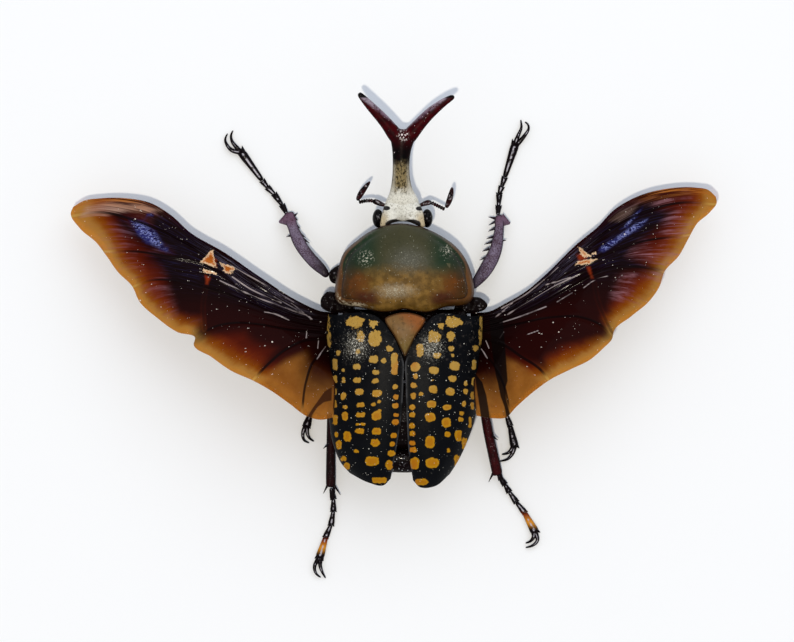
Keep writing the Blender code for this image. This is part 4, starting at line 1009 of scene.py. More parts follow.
def build_club(side, paint):
    """Three thin leaves, one above the other, bowed outwards."""
    start, end = (Vector(p) for p in CLUBS[side])
    outwards = -1 if side == "l" else 1
    leaves = []
    for lift, wide in CLUB_LEAVES:
        path = []
        for t, swell in CLUB_SWELL:
            spot = start.lerp(end, t)
            bow = outwards * CLUB_BOW * sin(pi * t)
            z = spot.z + lift * (0.4 + 0.6 * t)
            path.append((spot.x + bow, spot.y, z, wide * swell, LEAF_HALF * swell))
        leaves.append(grow(path, 12, 2))
    settle(join("club", leaves), "antenna_club_" + side, paint)


MOUTH_OUTLINE = [(-1.9, 15.4), (-0.3, 15.2), (1.3, 15.4), (1.4, 16.8), (0.6, 17.8), (-0.3, 17.6),
                 (-1.2, 17.8), (-2.0, 16.8)]


def build_mouth(black):
    """A plate with two jointed feelers below the head."""
    pieces = [mould(MOUTH_OUTLINE, 3.9, 4.9, 0.3, 0.4, 40, 14, 0.4)]
    for x in (-1.4, 0.8):
        pieces.append(grow([(x, 16.4, 4.0, 0.24, 0.24), (x * 1.1, 17.1, 3.85, 0.3, 0.28),
                            (x * 1.1, 17.5, 3.8, 0.2, 0.2), (x * 1.1, 18.0, 3.7, 0.28, 0.26),
                            (x * 1.1, 18.4, 3.65, 0.12, 0.12)], 10, 2))
    settle(join("mouthparts", pieces), "mouthparts", black)


# Thorax

SHIELD_OUTLINE = [(-0.1, 14.6), (-1.9, 14.5), (-4.1, 13.8), (-6.2, 12.4), (-7.9, 10.8), (-8.6, 8.8),
                  (-9.0, 6.6), (-9.0, 4.9), (-8.3, 4.1), (-5.8, 3.7), (-3.2, 3.15), (-1.6, 3.2),
                  (-0.1, 3.5), (1.5, 3.2), (3.1, 3.1), (5.3, 3.75), (8.1, 4.1), (9.0, 5.2),
                  (8.9, 7.3), (8.0, 9.9), (6.6, 11.7), (4.6, 13.1), (2.4, 14.1)]
PROSTERNUM_OUTLINE = [(0.0, 13.2), (-3.4, 12.6), (-5.4, 10.6), (-6.2, 7.6), (-5.6, 4.4),
                      (-3.0, 3.6), (0.0, 3.6), (3.0, 3.6), (5.6, 4.4), (6.2, 7.6), (5.4, 10.6),
                      (3.4, 12.6)]
SCUTELLUM_OUTLINE = [(-2.55, 2.15), (-1.5, 2.8), (0.0, 3.05), (1.6, 2.8), (2.7, 2.1), (1.4, -0.1),
                     (0.4, -2.05), (0.05, -2.6), (-0.3, -2.05), (-1.35, 0.0)]
SHOULDERS = {
    "l": [(-8.6, 5.5), (-9.9, 5.8), (-10.5, 5.4), (-10.9, 4.7), (-10.8, 3.75), (-10.0, 3.2),
          (-8.4, 3.0), (-6.6, 3.1), (-6.8, 4.6)],
    "r": [(8.2, 5.0), (9.6, 5.05), (10.35, 4.65), (10.8, 4.05), (10.5, 3.5), (9.8, 3.15),
          (8.4, 2.9), (6.6, 3.0), (6.8, 4.6)],
}
METATHORAX_OUTLINE = [(0.0, 3.45), (-5.0, 3.45), (-7.9, 3.2), (-8.3, 0.6), (-8.2, -2.5),
                      (-7.9, -5.2), (-4.5, -5.8), (0.0, -5.8), (4.5, -5.8), (7.9, -5.2),
                      (8.2, -2.5), (8.3, 0.6), (7.9, 3.2), (5.0, 3.45)]
KEEL = [(0.0, 3.2, 2.3, 0.4, 0.35), (0.0, 2.4, 2.15, 0.7, 0.55), (0.0, 1.0, 2.1, 0.85, 0.68),
        (0.0, -1.5, 2.05, 0.85, 0.7), (0.0, -3.2, 2.1, 0.6, 0.6), (0.0, -3.7, 2.1, 0.4, 0.4)]
SHIELD_RIM_MEAN = 7.4


def shield_edge(x, y):
    """Height of the shield's edge: low at the sides, high where it meets the wing cases."""
    inward = max(0.0, 1.0 - (x / 9.0) ** 2)
    if y < 5.0:
        return 6.4 + 4.6 * inward ** 0.7
    if y > 11.0:
        return 6.4 + 1.2 * inward
    return 6.4


def build_shield():
    """The domed shield with its rim; it carries each point's distance from the edge."""
    edge = around(SHIELD_OUTLINE, 160)

    def inset(x, y):
        return np.min(np.hypot(x[:, None] - edge[None, :, 0], y[:, None] - edge[None, :, 1]), axis=1)

    def relief(x, y, z, out, upper):
        """A raised bead round the sides with a groove inside it, and a hump behind."""
        near = inset(x, y)
        side = np.clip((np.abs(x) - 2.0) / 3.0, 0.0, 1.0)
        side = side * np.clip((y - 4.3) / 0.9, 0.0, 1.0)
        bead = 0.22 * np.exp(-((near - 0.35) / 0.22) ** 2)
        groove = 0.2 * np.exp(-((near - 0.85) / 0.2) ** 2)
        hump = 0.2 * (8.8 - y) * (1 - out ** 2)
        return z + np.where(upper, (bead - groove) * side + hump, 0.0)

    rise = SHIELD_CROWN - SHIELD_RIM_MEAN
    shield = mould(SHIELD_OUTLINE, SHIELD_LOW, shield_edge, 0.0, rise, 160, 96, 0.42, relief)
    points = coordinates(shield)
    note(shield, "inset", inset(points[:, 0], points[:, 1]))
    settle(shield, "pronotum", shield_olive())


def build_scutellum():
    """The small shield between the wing cases; it carries each point's distance from the edge."""
    scutellum = mould(SCUTELLUM_OUTLINE, 11.3, 12.0, 0.0, 0.5, 120, 60, 0.35)
    edge = around(SCUTELLUM_OUTLINE, 120)
    points = coordinates(scutellum)
    note(scutellum, "inset", away_from(np.vstack([edge, edge[:1]]), points[:, 0], points[:, 1]))
    settle(scutellum, "scutellum", scutellum_tan())


def rugged(x, y, z, out, upper):
    """Uneven plates and dents."""
    return z + 0.16 * np.sin(3.1 * x + 1.7 * y) * np.sin(2.3 * y - 1.3 * x) * (1 - out ** 4)


def build_thorax(black):
    build_shield()
    settle(mould(PROSTERNUM_OUTLINE, 4.9, 5.6, 1.6, 0.0, 64, 24), "prosternum", black)
    build_scutellum()
    for side, outline in SHOULDERS.items():
        shoulder = mould(outline, 4.6, 6.2, 0.2, 0.7, 64, 40, 0.4, rugged)
        settle(shoulder, "mesepimeron_" + side, black)
    settle(mould(METATHORAX_OUTLINE, 4.4, 7.6, 1.3, 3.1, 80, 32), "metasternum", black)
    settle(grow(KEEL, 16, 2), "sternal_keel", black)


ABDOMEN_OUTLINE = [(0.0, -6.1), (-5.0, -6.1), (-7.7, -6.5), (-8.1, -8.6), (-7.8, -11.4),
                   (-6.8, -13.9), (-3.5, -14.62), (0.0, -14.72), (3.5, -14.62), (6.7, -13.9),
                   (7.7, -11.4), (8.0, -8.6), (7.6, -6.5), (5.0, -6.1)]
PYGIDIUM_OUTLINE = [(0.0, -14.75), (-3.5, -14.65), (-6.2, -14.4), (-5.2, -16.2), (-3.0, -17.4),
                    (0.0, -17.75), (2.8, -17.4), (4.9, -16.2), (6.1, -14.4), (3.5, -14.65)]
ABDOMEN_FRONT = -6.1
RING_LENGTH = 1.7               # of one abdomen ring
RING_STEP = 0.16


def rings(x, y, z, out, upper):
    """Overlapping rings: each one's hind edge stands a little proud of the next."""
    share = np.mod(ABDOMEN_FRONT - y, RING_LENGTH) / RING_LENGTH
    step = RING_STEP * share ** 3
    return np.where(upper, z + step, z - step)


def build_abdomen(black):
    abdomen = mould(ABDOMEN_OUTLINE, 5.2, 7.2, 3.3, 3.4, 96, 72, 0.5, rings)
    settle(abdomen, "abdomen", black)
    settle(mould(PYGIDIUM_OUTLINE, 4.6, 7.2, 1.6, 1.7, 72, 32), "pygidium", black)


# Wing cases

CASES = {
    "l": {"base": [(-2.7, 1.75), (-3.5, 2.45), (-5.0, 3.0), (-7.1, 2.95), (-8.4, 2.75),
                   (-9.9, 2.8)],
          "inner": [(-2.7, 1.75), (-1.5, 0.0), (-0.45, -2.3), (-0.15, -3.2), (-0.15, -5.7),
                    (-0.3, -9.0), (-1.1, -14.8), (-1.8, -18.5)],
          "tip": [(-1.8, -18.5), (-2.7, -19.35), (-4.7, -19.0), (-7.1, -17.8)],
          "outer": [(-9.9, 2.8), (-10.1, 0.1), (-9.65, -3.4), (-9.9, -7.0), (-9.8, -10.9),
                    (-9.2, -14.3), (-8.1, -16.7), (-7.1, -17.8)]},
    "r": {"base": [(2.85, 1.75), (3.6, 2.5), (5.3, 3.0), (7.0, 2.75), (9.0, 2.55), (10.1, 2.65)],
          "inner": [(2.85, 1.75), (1.6, -0.1), (0.5, -2.3), (0.15, -3.2), (0.15, -5.7),
                    (0.3, -10.9), (0.6, -15.5), (1.1, -18.7)],
          "tip": [(1.1, -18.7), (1.9, -19.55), (3.9, -19.5), (5.9, -17.9)],
          "outer": [(10.1, 2.65), (10.1, 0.1), (9.6, -3.4), (9.6, -7.0), (9.2, -10.5), (8.1, -13.8),
                    (6.8, -16.5), (5.9, -17.9)]},
}
CASE_ROWS = 180
CASE_COLUMNS = 90
CASE_THICKNESS = 0.5
SPOT_ROUNDING = 0.45            # a spot's corner radius, as a share of its narrow side
# ochre spots: centre x and y, width and length, row by row from the seam outwards
SPOTS = {
    "l": [[(-1.3, -3.6, 0.9, 2.9), (-1.2, -6.5, 0.7, 0.7), (-1.1, -7.9, 0.7, 0.8),
           (-1.2, -9.0, 0.8, 0.7), (-1.1, -10.2, 0.8, 0.5), (-1.2, -11.1, 0.9, 0.8),
           (-1.4, -12.9, 0.9, 0.7), (-1.6, -14.0, 0.8, 0.6), (-1.7, -15.2, 1.0, 0.8),
           (-2.0, -16.7, 1.0, 1.2)],
          [(-6.4, 1.8, 2.3, 1.4), (-4.2, 1.6, 0.8, 1.0), (-3.7, 1.7, 0.4, 0.5),
           (-3.8, -0.3, 1.8, 2.1), (-2.0, -1.6, 1.0, 0.9), (-4.0, -3.0, 1.2, 1.0),
           (-2.7, -3.2, 0.7, 0.7), (-3.7, -4.7, 1.0, 0.7), (-3.8, -5.8, 0.9, 0.7),
           (-3.6, -7.4, 1.3, 0.9), (-3.3, -8.5, 0.5, 0.4), (-4.0, -8.8, 0.7, 0.5),
           (-3.2, -9.6, 0.5, 0.4), (-3.6, -10.3, 1.3, 1.2), (-3.6, -12.3, 1.2, 0.9),
           (-3.8, -13.8, 1.2, 1.0), (-4.2, -16.2, 1.8, 1.3), (-3.3, -18.7, 2.0, 0.8)],
          [(-5.7, 0.0, 0.9, 1.6), (-6.0, -2.0, 0.7, 0.7), (-6.2, -4.0, 1.0, 0.8),
           (-6.1, -5.7, 1.1, 0.8), (-5.9, -7.2, 1.2, 0.9), (-5.7, -8.9, 1.0, 0.7),
           (-5.7, -10.2, 1.2, 0.7), (-5.7, -11.4, 1.2, 0.3), (-5.8, -12.3, 1.2, 0.7),
           (-6.2, -14.9, 0.7, 0.5)],
          [(-8.6, -2.2, 0.5, 0.7), (-7.9, -4.4, 0.4, 0.5), (-7.9, -5.7, 0.5, 0.8),
           (-7.9, -7.8, 0.7, 1.0), (-7.7, -9.2, 0.7, 0.5), (-7.7, -10.4, 0.8, 1.1),
           (-7.4, -13.0, 1.0, 1.4), (-7.9, -15.9, 0.8, 0.7)],
          [(-10.0, 1.8, 0.45, 2.3), (-9.85, -0.5, 0.6, 1.9), (-9.0, -3.7, 0.7, 1.6),
           (-9.0, -5.6, 0.6, 1.0), (-9.1, -7.2, 0.7, 1.0), (-9.1, -8.8, 0.7, 1.1),
           (-9.0, -10.9, 0.7, 1.3), (-8.8, -12.8, 0.5, 0.7), (-8.5, -14.1, 0.8, 1.2),
           (-7.5, -16.9, 0.9, 1.0)]],
    "r": [[(2.0, -1.8, 0.9, 1.8), (1.4, -4.0, 1.3, 1.2), (1.4, -5.2, 0.8, 0.7),
           (1.2, -6.4, 0.8, 0.8), (1.1, -7.7, 0.7, 0.9), (1.0, -9.2, 0.8, 0.7),
           (1.0, -10.2, 0.8, 0.7), (1.0, -11.6, 0.8, 0.8), (1.0, -12.6, 0.8, 0.7),
           (1.0, -13.8, 0.8, 0.7), (1.1, -14.7, 1.0, 0.7), (1.3, -16.5, 1.2, 1.6)],
          [(6.4, 1.8, 2.2, 1.2), (4.7, 1.4, 0.8, 0.8), (3.8, -0.1, 1.7, 1.6), (4.2, -2.5, 1.0, 0.8),
           (3.8, -4.4, 1.3, 1.0), (3.6, -5.7, 0.4, 0.3), (3.7, -6.9, 1.2, 1.0),
           (2.1, -7.5, 0.6, 0.5), (3.5, -8.8, 1.3, 1.0), (3.3, -10.5, 1.4, 1.2),
           (3.3, -13.7, 1.3, 1.6), (3.6, -16.4, 1.8, 1.3), (2.2, -18.9, 1.8, 0.9)],
          [(6.0, -0.1, 1.0, 1.3), (6.0, -1.6, 0.7, 0.7), (6.2, -2.5, 0.5, 0.5),
           (6.5, -3.9, 1.4, 1.2), (6.2, -5.5, 1.1, 0.8), (5.9, -7.2, 1.2, 1.0),
           (5.5, -9.2, 1.1, 0.8), (5.4, -11.2, 1.2, 1.3), (5.6, -12.7, 0.9, 0.7),
           (5.7, -14.8, 0.5, 0.6)],
          [(7.9, -6.1, 0.5, 0.7), (7.9, -7.2, 0.6, 0.8), (7.7, -8.7, 0.7, 0.8),
           (7.4, -10.0, 0.7, 0.6), (7.3, -10.8, 0.7, 0.6), (7.0, -12.9, 0.9, 1.5)],
          [(10.0, 1.6, 0.45, 1.8), (9.9, -0.3, 0.45, 1.8), (9.2, -1.6, 0.8, 0.8),
           (9.0, -3.7, 0.6, 1.3), (9.0, -5.9, 0.6, 1.2), (8.8, -7.7, 0.5, 1.1),
           (8.8, -9.1, 0.5, 1.0), (8.5, -11.2, 0.5, 1.4), (7.8, -14.0, 0.7, 1.6),
           (6.8, -16.2, 0.7, 1.6)]],
}


def case_heights(s, t):
    """Arch of a wing case; s runs from base to tip, t from inner to outer edge."""
    length_wise = np.sqrt(1.0 - 0.93 * s ** 2.6) * (0.94 + 0.06 * np.clip(s / 0.1, 0.0, 1.0))
    inner_slope = 0.11 * np.clip(1.0 - t / 0.6, 0.0, 1.0) ** 2 * np.clip((s - 0.1) / 0.2, 0.0, 1.0)
    cross_wise = (1.0 - t ** 2.3) ** 0.55 - inner_slope
    ribs = 0.03 * np.exp(-((t - 0.36) / 0.05) ** 2) + 0.03 * np.exp(-((t - 0.66) / 0.05) ** 2)
    ribs = ribs * np.clip((s - 0.1) / 0.15, 0.0, 1.0) * np.clip((0.93 - s) / 0.1, 0.0, 1.0)
    seam = 0.06 * np.exp(-(t / 0.03) ** 2) * np.clip((s - 0.2) / 0.1, 0.0, 1.0)
    bump = 0.35 * np.exp(-((s - 0.1) / 0.07) ** 2 - ((t - 0.82) / 0.12) ** 2)
    tip_bump = 0.25 * np.exp(-((s - 0.86) / 0.06) ** 2 - ((t - 0.5) / 0.2) ** 2)
    return CASE_RIM + CASE_RISE * length_wise * cross_wise + ribs + seam + bump + tip_bump


def case_grid(side):
    """Places of the case's grid in plan, ruled between its edges, with its shares both ways."""
    edges = CASES[side]
    base = along(edges["base"], CASE_COLUMNS)
    tip = along(edges["tip"], CASE_COLUMNS)
    inner = along(edges["inner"], CASE_ROWS)
    outer = along(edges["outer"], CASE_ROWS)
    # columns crowd towards the outer edge, where the case turns down
    even = np.linspace(0.0, 1.0, CASE_COLUMNS)
    t = np.sin(even * pi / 2)
    base, tip = (np.column_stack([np.interp(t, even, end[:, k]) for k in (0, 1)])
                 for end in (base, tip))
    s = np.linspace(0.0, 1.0, CASE_ROWS)
    grid_s, grid_t = np.meshgrid(s, t, indexing="ij")
    down = grid_s[:, :, None]
    over = grid_t[:, :, None]
    ruled = (1 - over) * inner[:, None] + over * outer[:, None] + (1 - down) * base + down * tip
    corners = ((1 - down) * ((1 - over) * base[0] + over * base[-1])
               + down * ((1 - over) * tip[0] + over * tip[-1]))
    return ruled - corners, grid_s, grid_t, inner


def spot_distance(side, x, y):
    """Distance of points from the nearest spot's edge, negative inside; spots are squarish."""
    distance = np.full(len(x), 9.0)
    for row in SPOTS[side]:
        for cx, cy, wide, long in row:
            corner = SPOT_ROUNDING * min(wide, long)
            dx = np.abs(x - cx) - wide / 2 + corner
            dy = np.abs(y - cy) - long / 2 + corner
            outside = np.hypot(np.maximum(dx, 0), np.maximum(dy, 0))
            away = outside + np.minimum(np.maximum(dx, dy), 0) - corner
            distance = np.minimum(distance, away)
    return distance


def build_case(side):
    plan, grid_s, grid_t, inner = case_grid(side)
    points = np.dstack([plan, case_heights(grid_s, grid_t)])
    case, i, j = spread(CASE_COLUMNS, CASE_ROWS, points)
    x = points[i, j, 0]
    y = points[i, j, 1]
    note(case, "spot", spot_distance(side, x, y))
    note(case, "seam", away_from(inner[::6], x, y))
    modify(case, "SOLIDIFY", thickness=CASE_THICKNESS, offset=-1.0)
    settle(case, "elytron_" + side, case_spotted("case_" + side))


# Hind wings

WINGS = {
    "l": {"veins": [[(-8.6, 3.0), (-10.7, 3.15), (-13.6, 4.4), (-18.8, 7.7), (-23.3, 10.8),
                     (-27.9, 13.5), (-30.5, 15.8), (-33.1, 17.3), (-36.3, 17.9), (-39.6, 17.9),
                     (-41.7, 17.6), (-43.1, 16.8)],
                    [(-8.6, 2.3), (-13.6, 3.2), (-17.5, 5.2), (-21.4, 7.7), (-25.0, 10.1),
                     (-29.2, 12.5), (-34.4, 14.8), (-39.6, 16.1), (-43.2, 15.6)],
                    [(-8.6, 1.7), (-14.9, 3.0), (-20.1, 5.3), (-24.0, 8.3), (-26.6, 9.6),
                     (-30.5, 10.4), (-34.4, 11.1), (-38.8, 11.2)],
                    [(-8.6, 1.0), (-14.9, 2.2), (-19.4, 4.0), (-23.3, 5.5), (-26.6, 6.5),
                     (-30.5, 7.3), (-33.1, 7.2), (-35.2, 6.4)],
                    [(-8.6, 0.4), (-14.9, 0.8), (-18.8, 1.5), (-22.0, 1.7), (-24.6, 1.2),
                     (-27.1, -0.3)],
                    [(-8.6, -0.3), (-13.6, -0.8), (-15.5, -1.8), (-17.5, -3.5), (-19.6, -5.7)],
                    [(-8.6, -0.9), (-11.9, -3.4), (-12.8, -6.0), (-13.3, -10.0)],
                    [(-8.6, -1.7), (-8.9, -4.4), (-9.0, -7.7), (-9.2, -10.5)]],
          "margin": [(-43.1, 16.8), (-43.4, 16.0), (-42.2, 14.0), (-40.0, 12.1), (-38.7, 10.4),
                     (-37.2, 8.3), (-35.3, 6.4), (-34.4, 4.5), (-32.0, 2.3), (-29.4, 0.5),
                     (-27.1, -0.3), (-27.3, -1.0), (-25.0, -2.7), (-22.4, -4.5), (-19.7, -5.7),
                     (-17.5, -6.9), (-14.9, -8.7), (-12.5, -10.4), (-10.8, -10.8), (-9.2, -10.5)]},
    "r": {"veins": [[(8.6, 3.0), (10.9, 3.1), (13.1, 4.2), (15.7, 5.7), (18.3, 7.9), (22.6, 12.1),
                     (24.8, 13.9), (27.4, 16.5), (31.3, 18.5), (33.9, 19.1), (37.8, 19.3),
                     (39.5, 19.0), (40.5, 18.1)],
                    [(8.6, 2.3), (13.0, 3.3), (17.0, 5.9), (20.2, 8.9), (23.4, 11.4), (26.4, 13.6),
                     (31.0, 16.0), (36.0, 17.3), (40.55, 17.1)],
                    [(8.6, 1.7), (13.7, 3.4), (18.3, 6.2), (22.0, 8.8), (25.4, 10.3), (30.6, 12.2),
                     (37.1, 13.1)],
                    [(8.6, 1.0), (13.7, 2.4), (18.5, 4.6), (22.0, 6.6), (26.0, 8.6), (30.0, 9.0),
                     (33.7, 8.3)],
                    [(8.6, 0.4), (14.0, 1.4), (19.0, 2.4), (23.0, 2.4), (25.5, 1.4), (27.1, 0.0)],
                    [(8.6, -0.3), (12.4, -0.9), (15.0, -2.6), (17.6, -4.4), (18.6, -5.7)],
                    [(8.6, -0.9), (11.4, -3.4), (12.9, -6.4), (13.7, -10.0)],
                    [(8.6, -1.7), (8.9, -4.4), (9.0, -7.7), (9.3, -10.3)]],
          "margin": [(40.5, 18.1), (40.6, 17.4), (39.7, 16.1), (38.0, 14.6), (36.9, 12.7),
                     (35.6, 10.4), (33.7, 8.3), (33.1, 6.5), (31.7, 4.5), (29.3, 2.5), (27.1, 0.6),
                     (26.9, -0.3), (25.7, -1.6), (24.1, -3.0), (21.5, -4.3), (18.9, -5.6),
                     (16.3, -7.5), (14.4, -9.2), (13.1, -10.5), (11.1, -10.6), (9.3, -10.3)]},
}
WING_ROWS = 210                 # stations from root to margin
PANEL_RAYS = 28                 # lines laid between two veins
MARGIN_POINTS = 1200
VEIN_HALF_WIDTH = 0.17
VEIN_HEIGHT = 0.2
FRONT_VEIN_HEIGHT = 0.3
WING_THICKNESS = 0.14
# patches of colour on each wing, as outlines: the black fields, the tan lobe next to the body,
# the blue gleam, the cream scars and red embers at the joint where the wing folds, the coppery
# sheen, and the dark of the legs that lie beneath
PATCHES = {
    "l": {"dark": [[(-8.0, 3.4), (-12.0, 4.0), (-16.5, 6.6), (-22.0, 10.2), (-26.0, 12.6),
                    (-29.0, 14.4), (-31.8, 16.5), (-32.9, 15.6), (-32.6, 13.6), (-32.2, 12.2),
                    (-30.2, 10.8), (-32.5, 10.8), (-33.2, 10.1), (-31.6, 9.0), (-31.0, 7.8),
                    (-30.6, 6.2), (-30.0, 4.6), (-29.4, 3.2), (-27.9, 2.4), (-26.4, 2.2),
                    (-27.1, -0.3), (-24.0, 0.3), (-20.5, 0.9), (-19.5, -0.6), (-16.5, -1.6),
                    (-18.2, -4.0), (-15.5, -2.6), (-12.8, -1.6), (-11.8, -3.6), (-8.0, -5.0)],
                   [(-38.0, 16.1), (-37.0, 16.0), (-35.2, 14.2), (-33.6, 12.6), (-32.0, 11.4),
                    (-33.0, 11.4), (-35.0, 12.7), (-36.8, 14.2)]],
          "lobe": [[(-12.4, -1.8), (-15.0, -2.9), (-17.4, -4.6), (-19.3, -6.6), (-14.0, -10.5),
                    (-8.0, -12.0), (-9.0, -5.0)]],
          "lens": [[(-35.9, 15.4), (-33.8, 15.0), (-32.2, 13.7), (-31.1, 11.9), (-29.9, 10.6),
                    (-31.1, 10.8), (-32.9, 11.6), (-34.6, 12.8), (-35.7, 14.6)],
                   [(-33.6, 16.0), (-32.3, 16.2), (-32.6, 15.5), (-33.6, 15.4)]],
          "cream": [[(-24.9, 11.3), (-26.6, 9.5), (-26.0, 9.4), (-24.2, 8.8), (-24.6, 9.6)],
                    [(-24.1, 9.6), (-22.3, 9.0), (-21.9, 8.6), (-23.0, 8.2)],
                    [(-23.4, 9.2), (-22.3, 8.2), (-22.6, 7.9), (-23.6, 8.4)],
                    [(-26.3, 8.8), (-24.4, 8.2), (-24.4, 7.9), (-26.1, 8.2)]],
          "ember": [[(-25.2, 10.5), (-25.9, 9.6), (-24.4, 8.9), (-24.4, 9.9)],
                    [(-25.9, 7.9), (-25.2, 7.6), (-25.5, 6.7), (-25.8, 6.7)]],
          "sheen": [[(-31.5, 16.3), (-34.0, 17.2), (-38.0, 17.5), (-41.5, 16.9), (-42.0, 15.6),
                     (-39.0, 15.7), (-36.0, 16.3), (-33.5, 16.1)]],
          "shade": [[(-9.4, -6.6), (-10.4, -7.2), (-11.1, -8.2), (-11.9, -9.3), (-12.6, -10.4),
                     (-12.9, -11.5), (-12.2, -11.5), (-11.9, -10.2), (-11.2, -9.2), (-10.4, -8.6),
                     (-9.4, -8.4)]]},
    "r": {"dark": [[(8.0, 3.8), (12.0, 4.1), (15.0, 5.3), (19.5, 9.5), (22.5, 11.6), (25.0, 14.0),
                    (28.0, 16.6), (30.5, 17.6), (32.0, 17.4), (33.0, 16.6), (34.6, 16.2),
                    (34.0, 15.0), (33.0, 14.0), (31.6, 13.0), (30.5, 12.0), (29.5, 11.3),
                    (29.0, 10.4), (31.0, 9.6), (33.0, 8.6), (28.6, 8.2), (27.6, 7.6), (27.4, 6.2),
                    (26.9, 4.8), (26.6, 3.3), (25.8, 2.4), (26.6, 0.2), (24.5, -0.4), (22.5, -0.9),
                    (20.0, -1.6), (18.5, -2.6), (18.2, -4.2), (15.5, -3.0), (13.0, -2.0),
                    (12.0, -4.6), (8.0, -5.0)]],
          "lobe": [[(11.6, -2.2), (14.4, -3.4), (17.4, -5.4), (18.6, -6.6), (13.0, -11.4),
                    (8.0, -11.4), (9.0, -4.6)]],
          "lens": [[(25.0, 11.0), (26.0, 10.8), (28.0, 12.2), (31.0, 14.2), (32.0, 15.5),
                    (30.0, 14.8), (27.2, 12.8), (25.6, 11.9)],
                   [(28.0, 13.8), (29.0, 14.0), (30.6, 15.9), (31.0, 16.8), (29.4, 15.6)]],
          "cream": [[(22.5, 11.6), (23.2, 11.2), (24.3, 10.3), (23.4, 10.2), (22.9, 10.6)],
                    [(22.2, 9.2), (22.4, 9.7), (23.4, 9.9), (25.0, 10.0), (24.0, 9.3)],
                    [(23.9, 10.6), (24.9, 10.9), (24.9, 10.6)]],
          "ember": [[(22.3, 10.5), (23.2, 11.0), (23.7, 10.1), (22.7, 9.6)],
                    [(23.6, 9.0), (24.1, 9.0), (24.5, 7.5), (24.2, 7.5)]],
          "sheen": [[(26.6, 15.0), (28.2, 16.3), (30.2, 16.9), (29.4, 15.7), (28.0, 14.9)]],
          "shade": [[(11.0, 2.4), (12.8, 2.4), (13.1, -1.5), (13.3, -4.3), (13.4, -5.8),
                     (13.1, -6.8), (13.2, -8.2), (13.6, -9.8), (13.9, -10.8), (13.2, -10.8),
                     (12.9, -9.2), (12.4, -7.8), (12.1, -6.2), (11.8, -5.0), (11.4, -2.0)],
                    [(9.0, -4.6), (10.1, -6.0), (10.6, -7.6), (10.9, -9.4), (11.1, -10.8),
                     (9.9, -10.8), (9.5, -8.0)]]},
}
FOLDS = {"l": [(-25.7, 6.6), (-26.1, 4.0), (-26.0, 1.9), (-25.9, 0.8)],
         "r": [(24.6, 7.0), (25.0, 4.8), (26.3, 1.6), (27.0, 0.2)]}
# lines of pale painted highlights on each wing, as points
PALE_LINES = {
    "l": [[(-12.3, 2.4), (-13.4, 3.2), (-14.7, 4.3)],
          [(-14.4, 4.4), (-18.4, 6.8), (-22.6, 9.2)],
          [(-12.9, 2.7), (-15.6, 3.7), (-19.4, 5.1), (-24.0, 7.2)],
          [(-16.0, 4.3), (-20.0, 6.1), (-22.4, 7.7)],
          [(-12.0, 2.2), (-15.4, 4.2), (-17.0, 5.1)],
          [(-15.0, 2.1), (-17.4, 3.0), (-18.2, 3.1)],
          [(-11.2, -0.6), (-11.3, -1.6)],
          [(-10.3, -1.4), (-11.4, -3.0)],
          [(-12.7, 0.5), (-12.8, -0.3)]],
    "r": [[(11.8, 2.5), (12.8, 3.2), (14.0, 4.3)],
          [(12.6, 3.6), (16.0, 5.6), (20.0, 8.9)],
          [(13.4, 2.8), (16.6, 4.8), (19.0, 6.2), (22.6, 8.0)],
          [(12.4, 1.7), (14.4, 2.3), (17.4, 3.4), (18.4, 3.8)],
          [(18.2, 6.6), (20.2, 7.2), (21.6, 7.6)],
          [(19.8, 4.4), (21.8, 5.6)],
          [(23.2, 6.2), (24.6, 7.2), (26.4, 7.8)],
          [(27.0, 7.0), (28.4, 8.0)],
          [(16.0, 0.2), (17.4, 0.7)],
          [(12.9, 0.5), (12.4, -0.3)],
          [(10.6, -0.6), (11.0, -1.6)],
          [(10.0, -1.7), (10.8, -2.9)]],
}
CHORD_TILT = 0.14               # the hind margin lies this much higher per mm from the front edge


def wing_level(x, y):
    """Height of the membrane's middle: nearly level, a little raised half way out."""
    out = np.clip((np.abs(x) - 8.6) / 34.0, 0.0, 1.0)
    return 6.2 + 1.3 * np.sin(pi * out ** 0.8)


def away_from(line, x, y):
    """Distance of many points from a line of points."""
    nearest = np.full(x.shape, 1e9)
    for (xa, ya), (xb, yb) in zip(line[:-1], line[1:]):
        length = hypot(xb - xa, yb - ya) ** 2
        share = np.clip(((x - xa) * (xb - xa) + (y - ya) * (yb - ya)) / max(length, 1e-9), 0.0, 1.0)
        nearest = np.minimum(nearest, np.hypot(x - xa - share * (xb - xa), y - ya - share * (yb - ya)))
    return nearest


def depth_in(outline, x, y):
    """Distance inside a closed outline, negative outside it."""
    ring = outline + outline[:1]
    inside = np.zeros(x.shape, dtype=bool)
    for (xa, ya), (xb, yb) in zip(ring[:-1], ring[1:]):
        crosses = (ya > y) != (yb > y)
        where = xa + (y - ya) * (xb - xa) / (yb - ya if yb != ya else 1e-9)
        inside ^= crosses & (x < where)
    return np.where(inside, 1.0, -1.0) * away_from(ring, x, y)


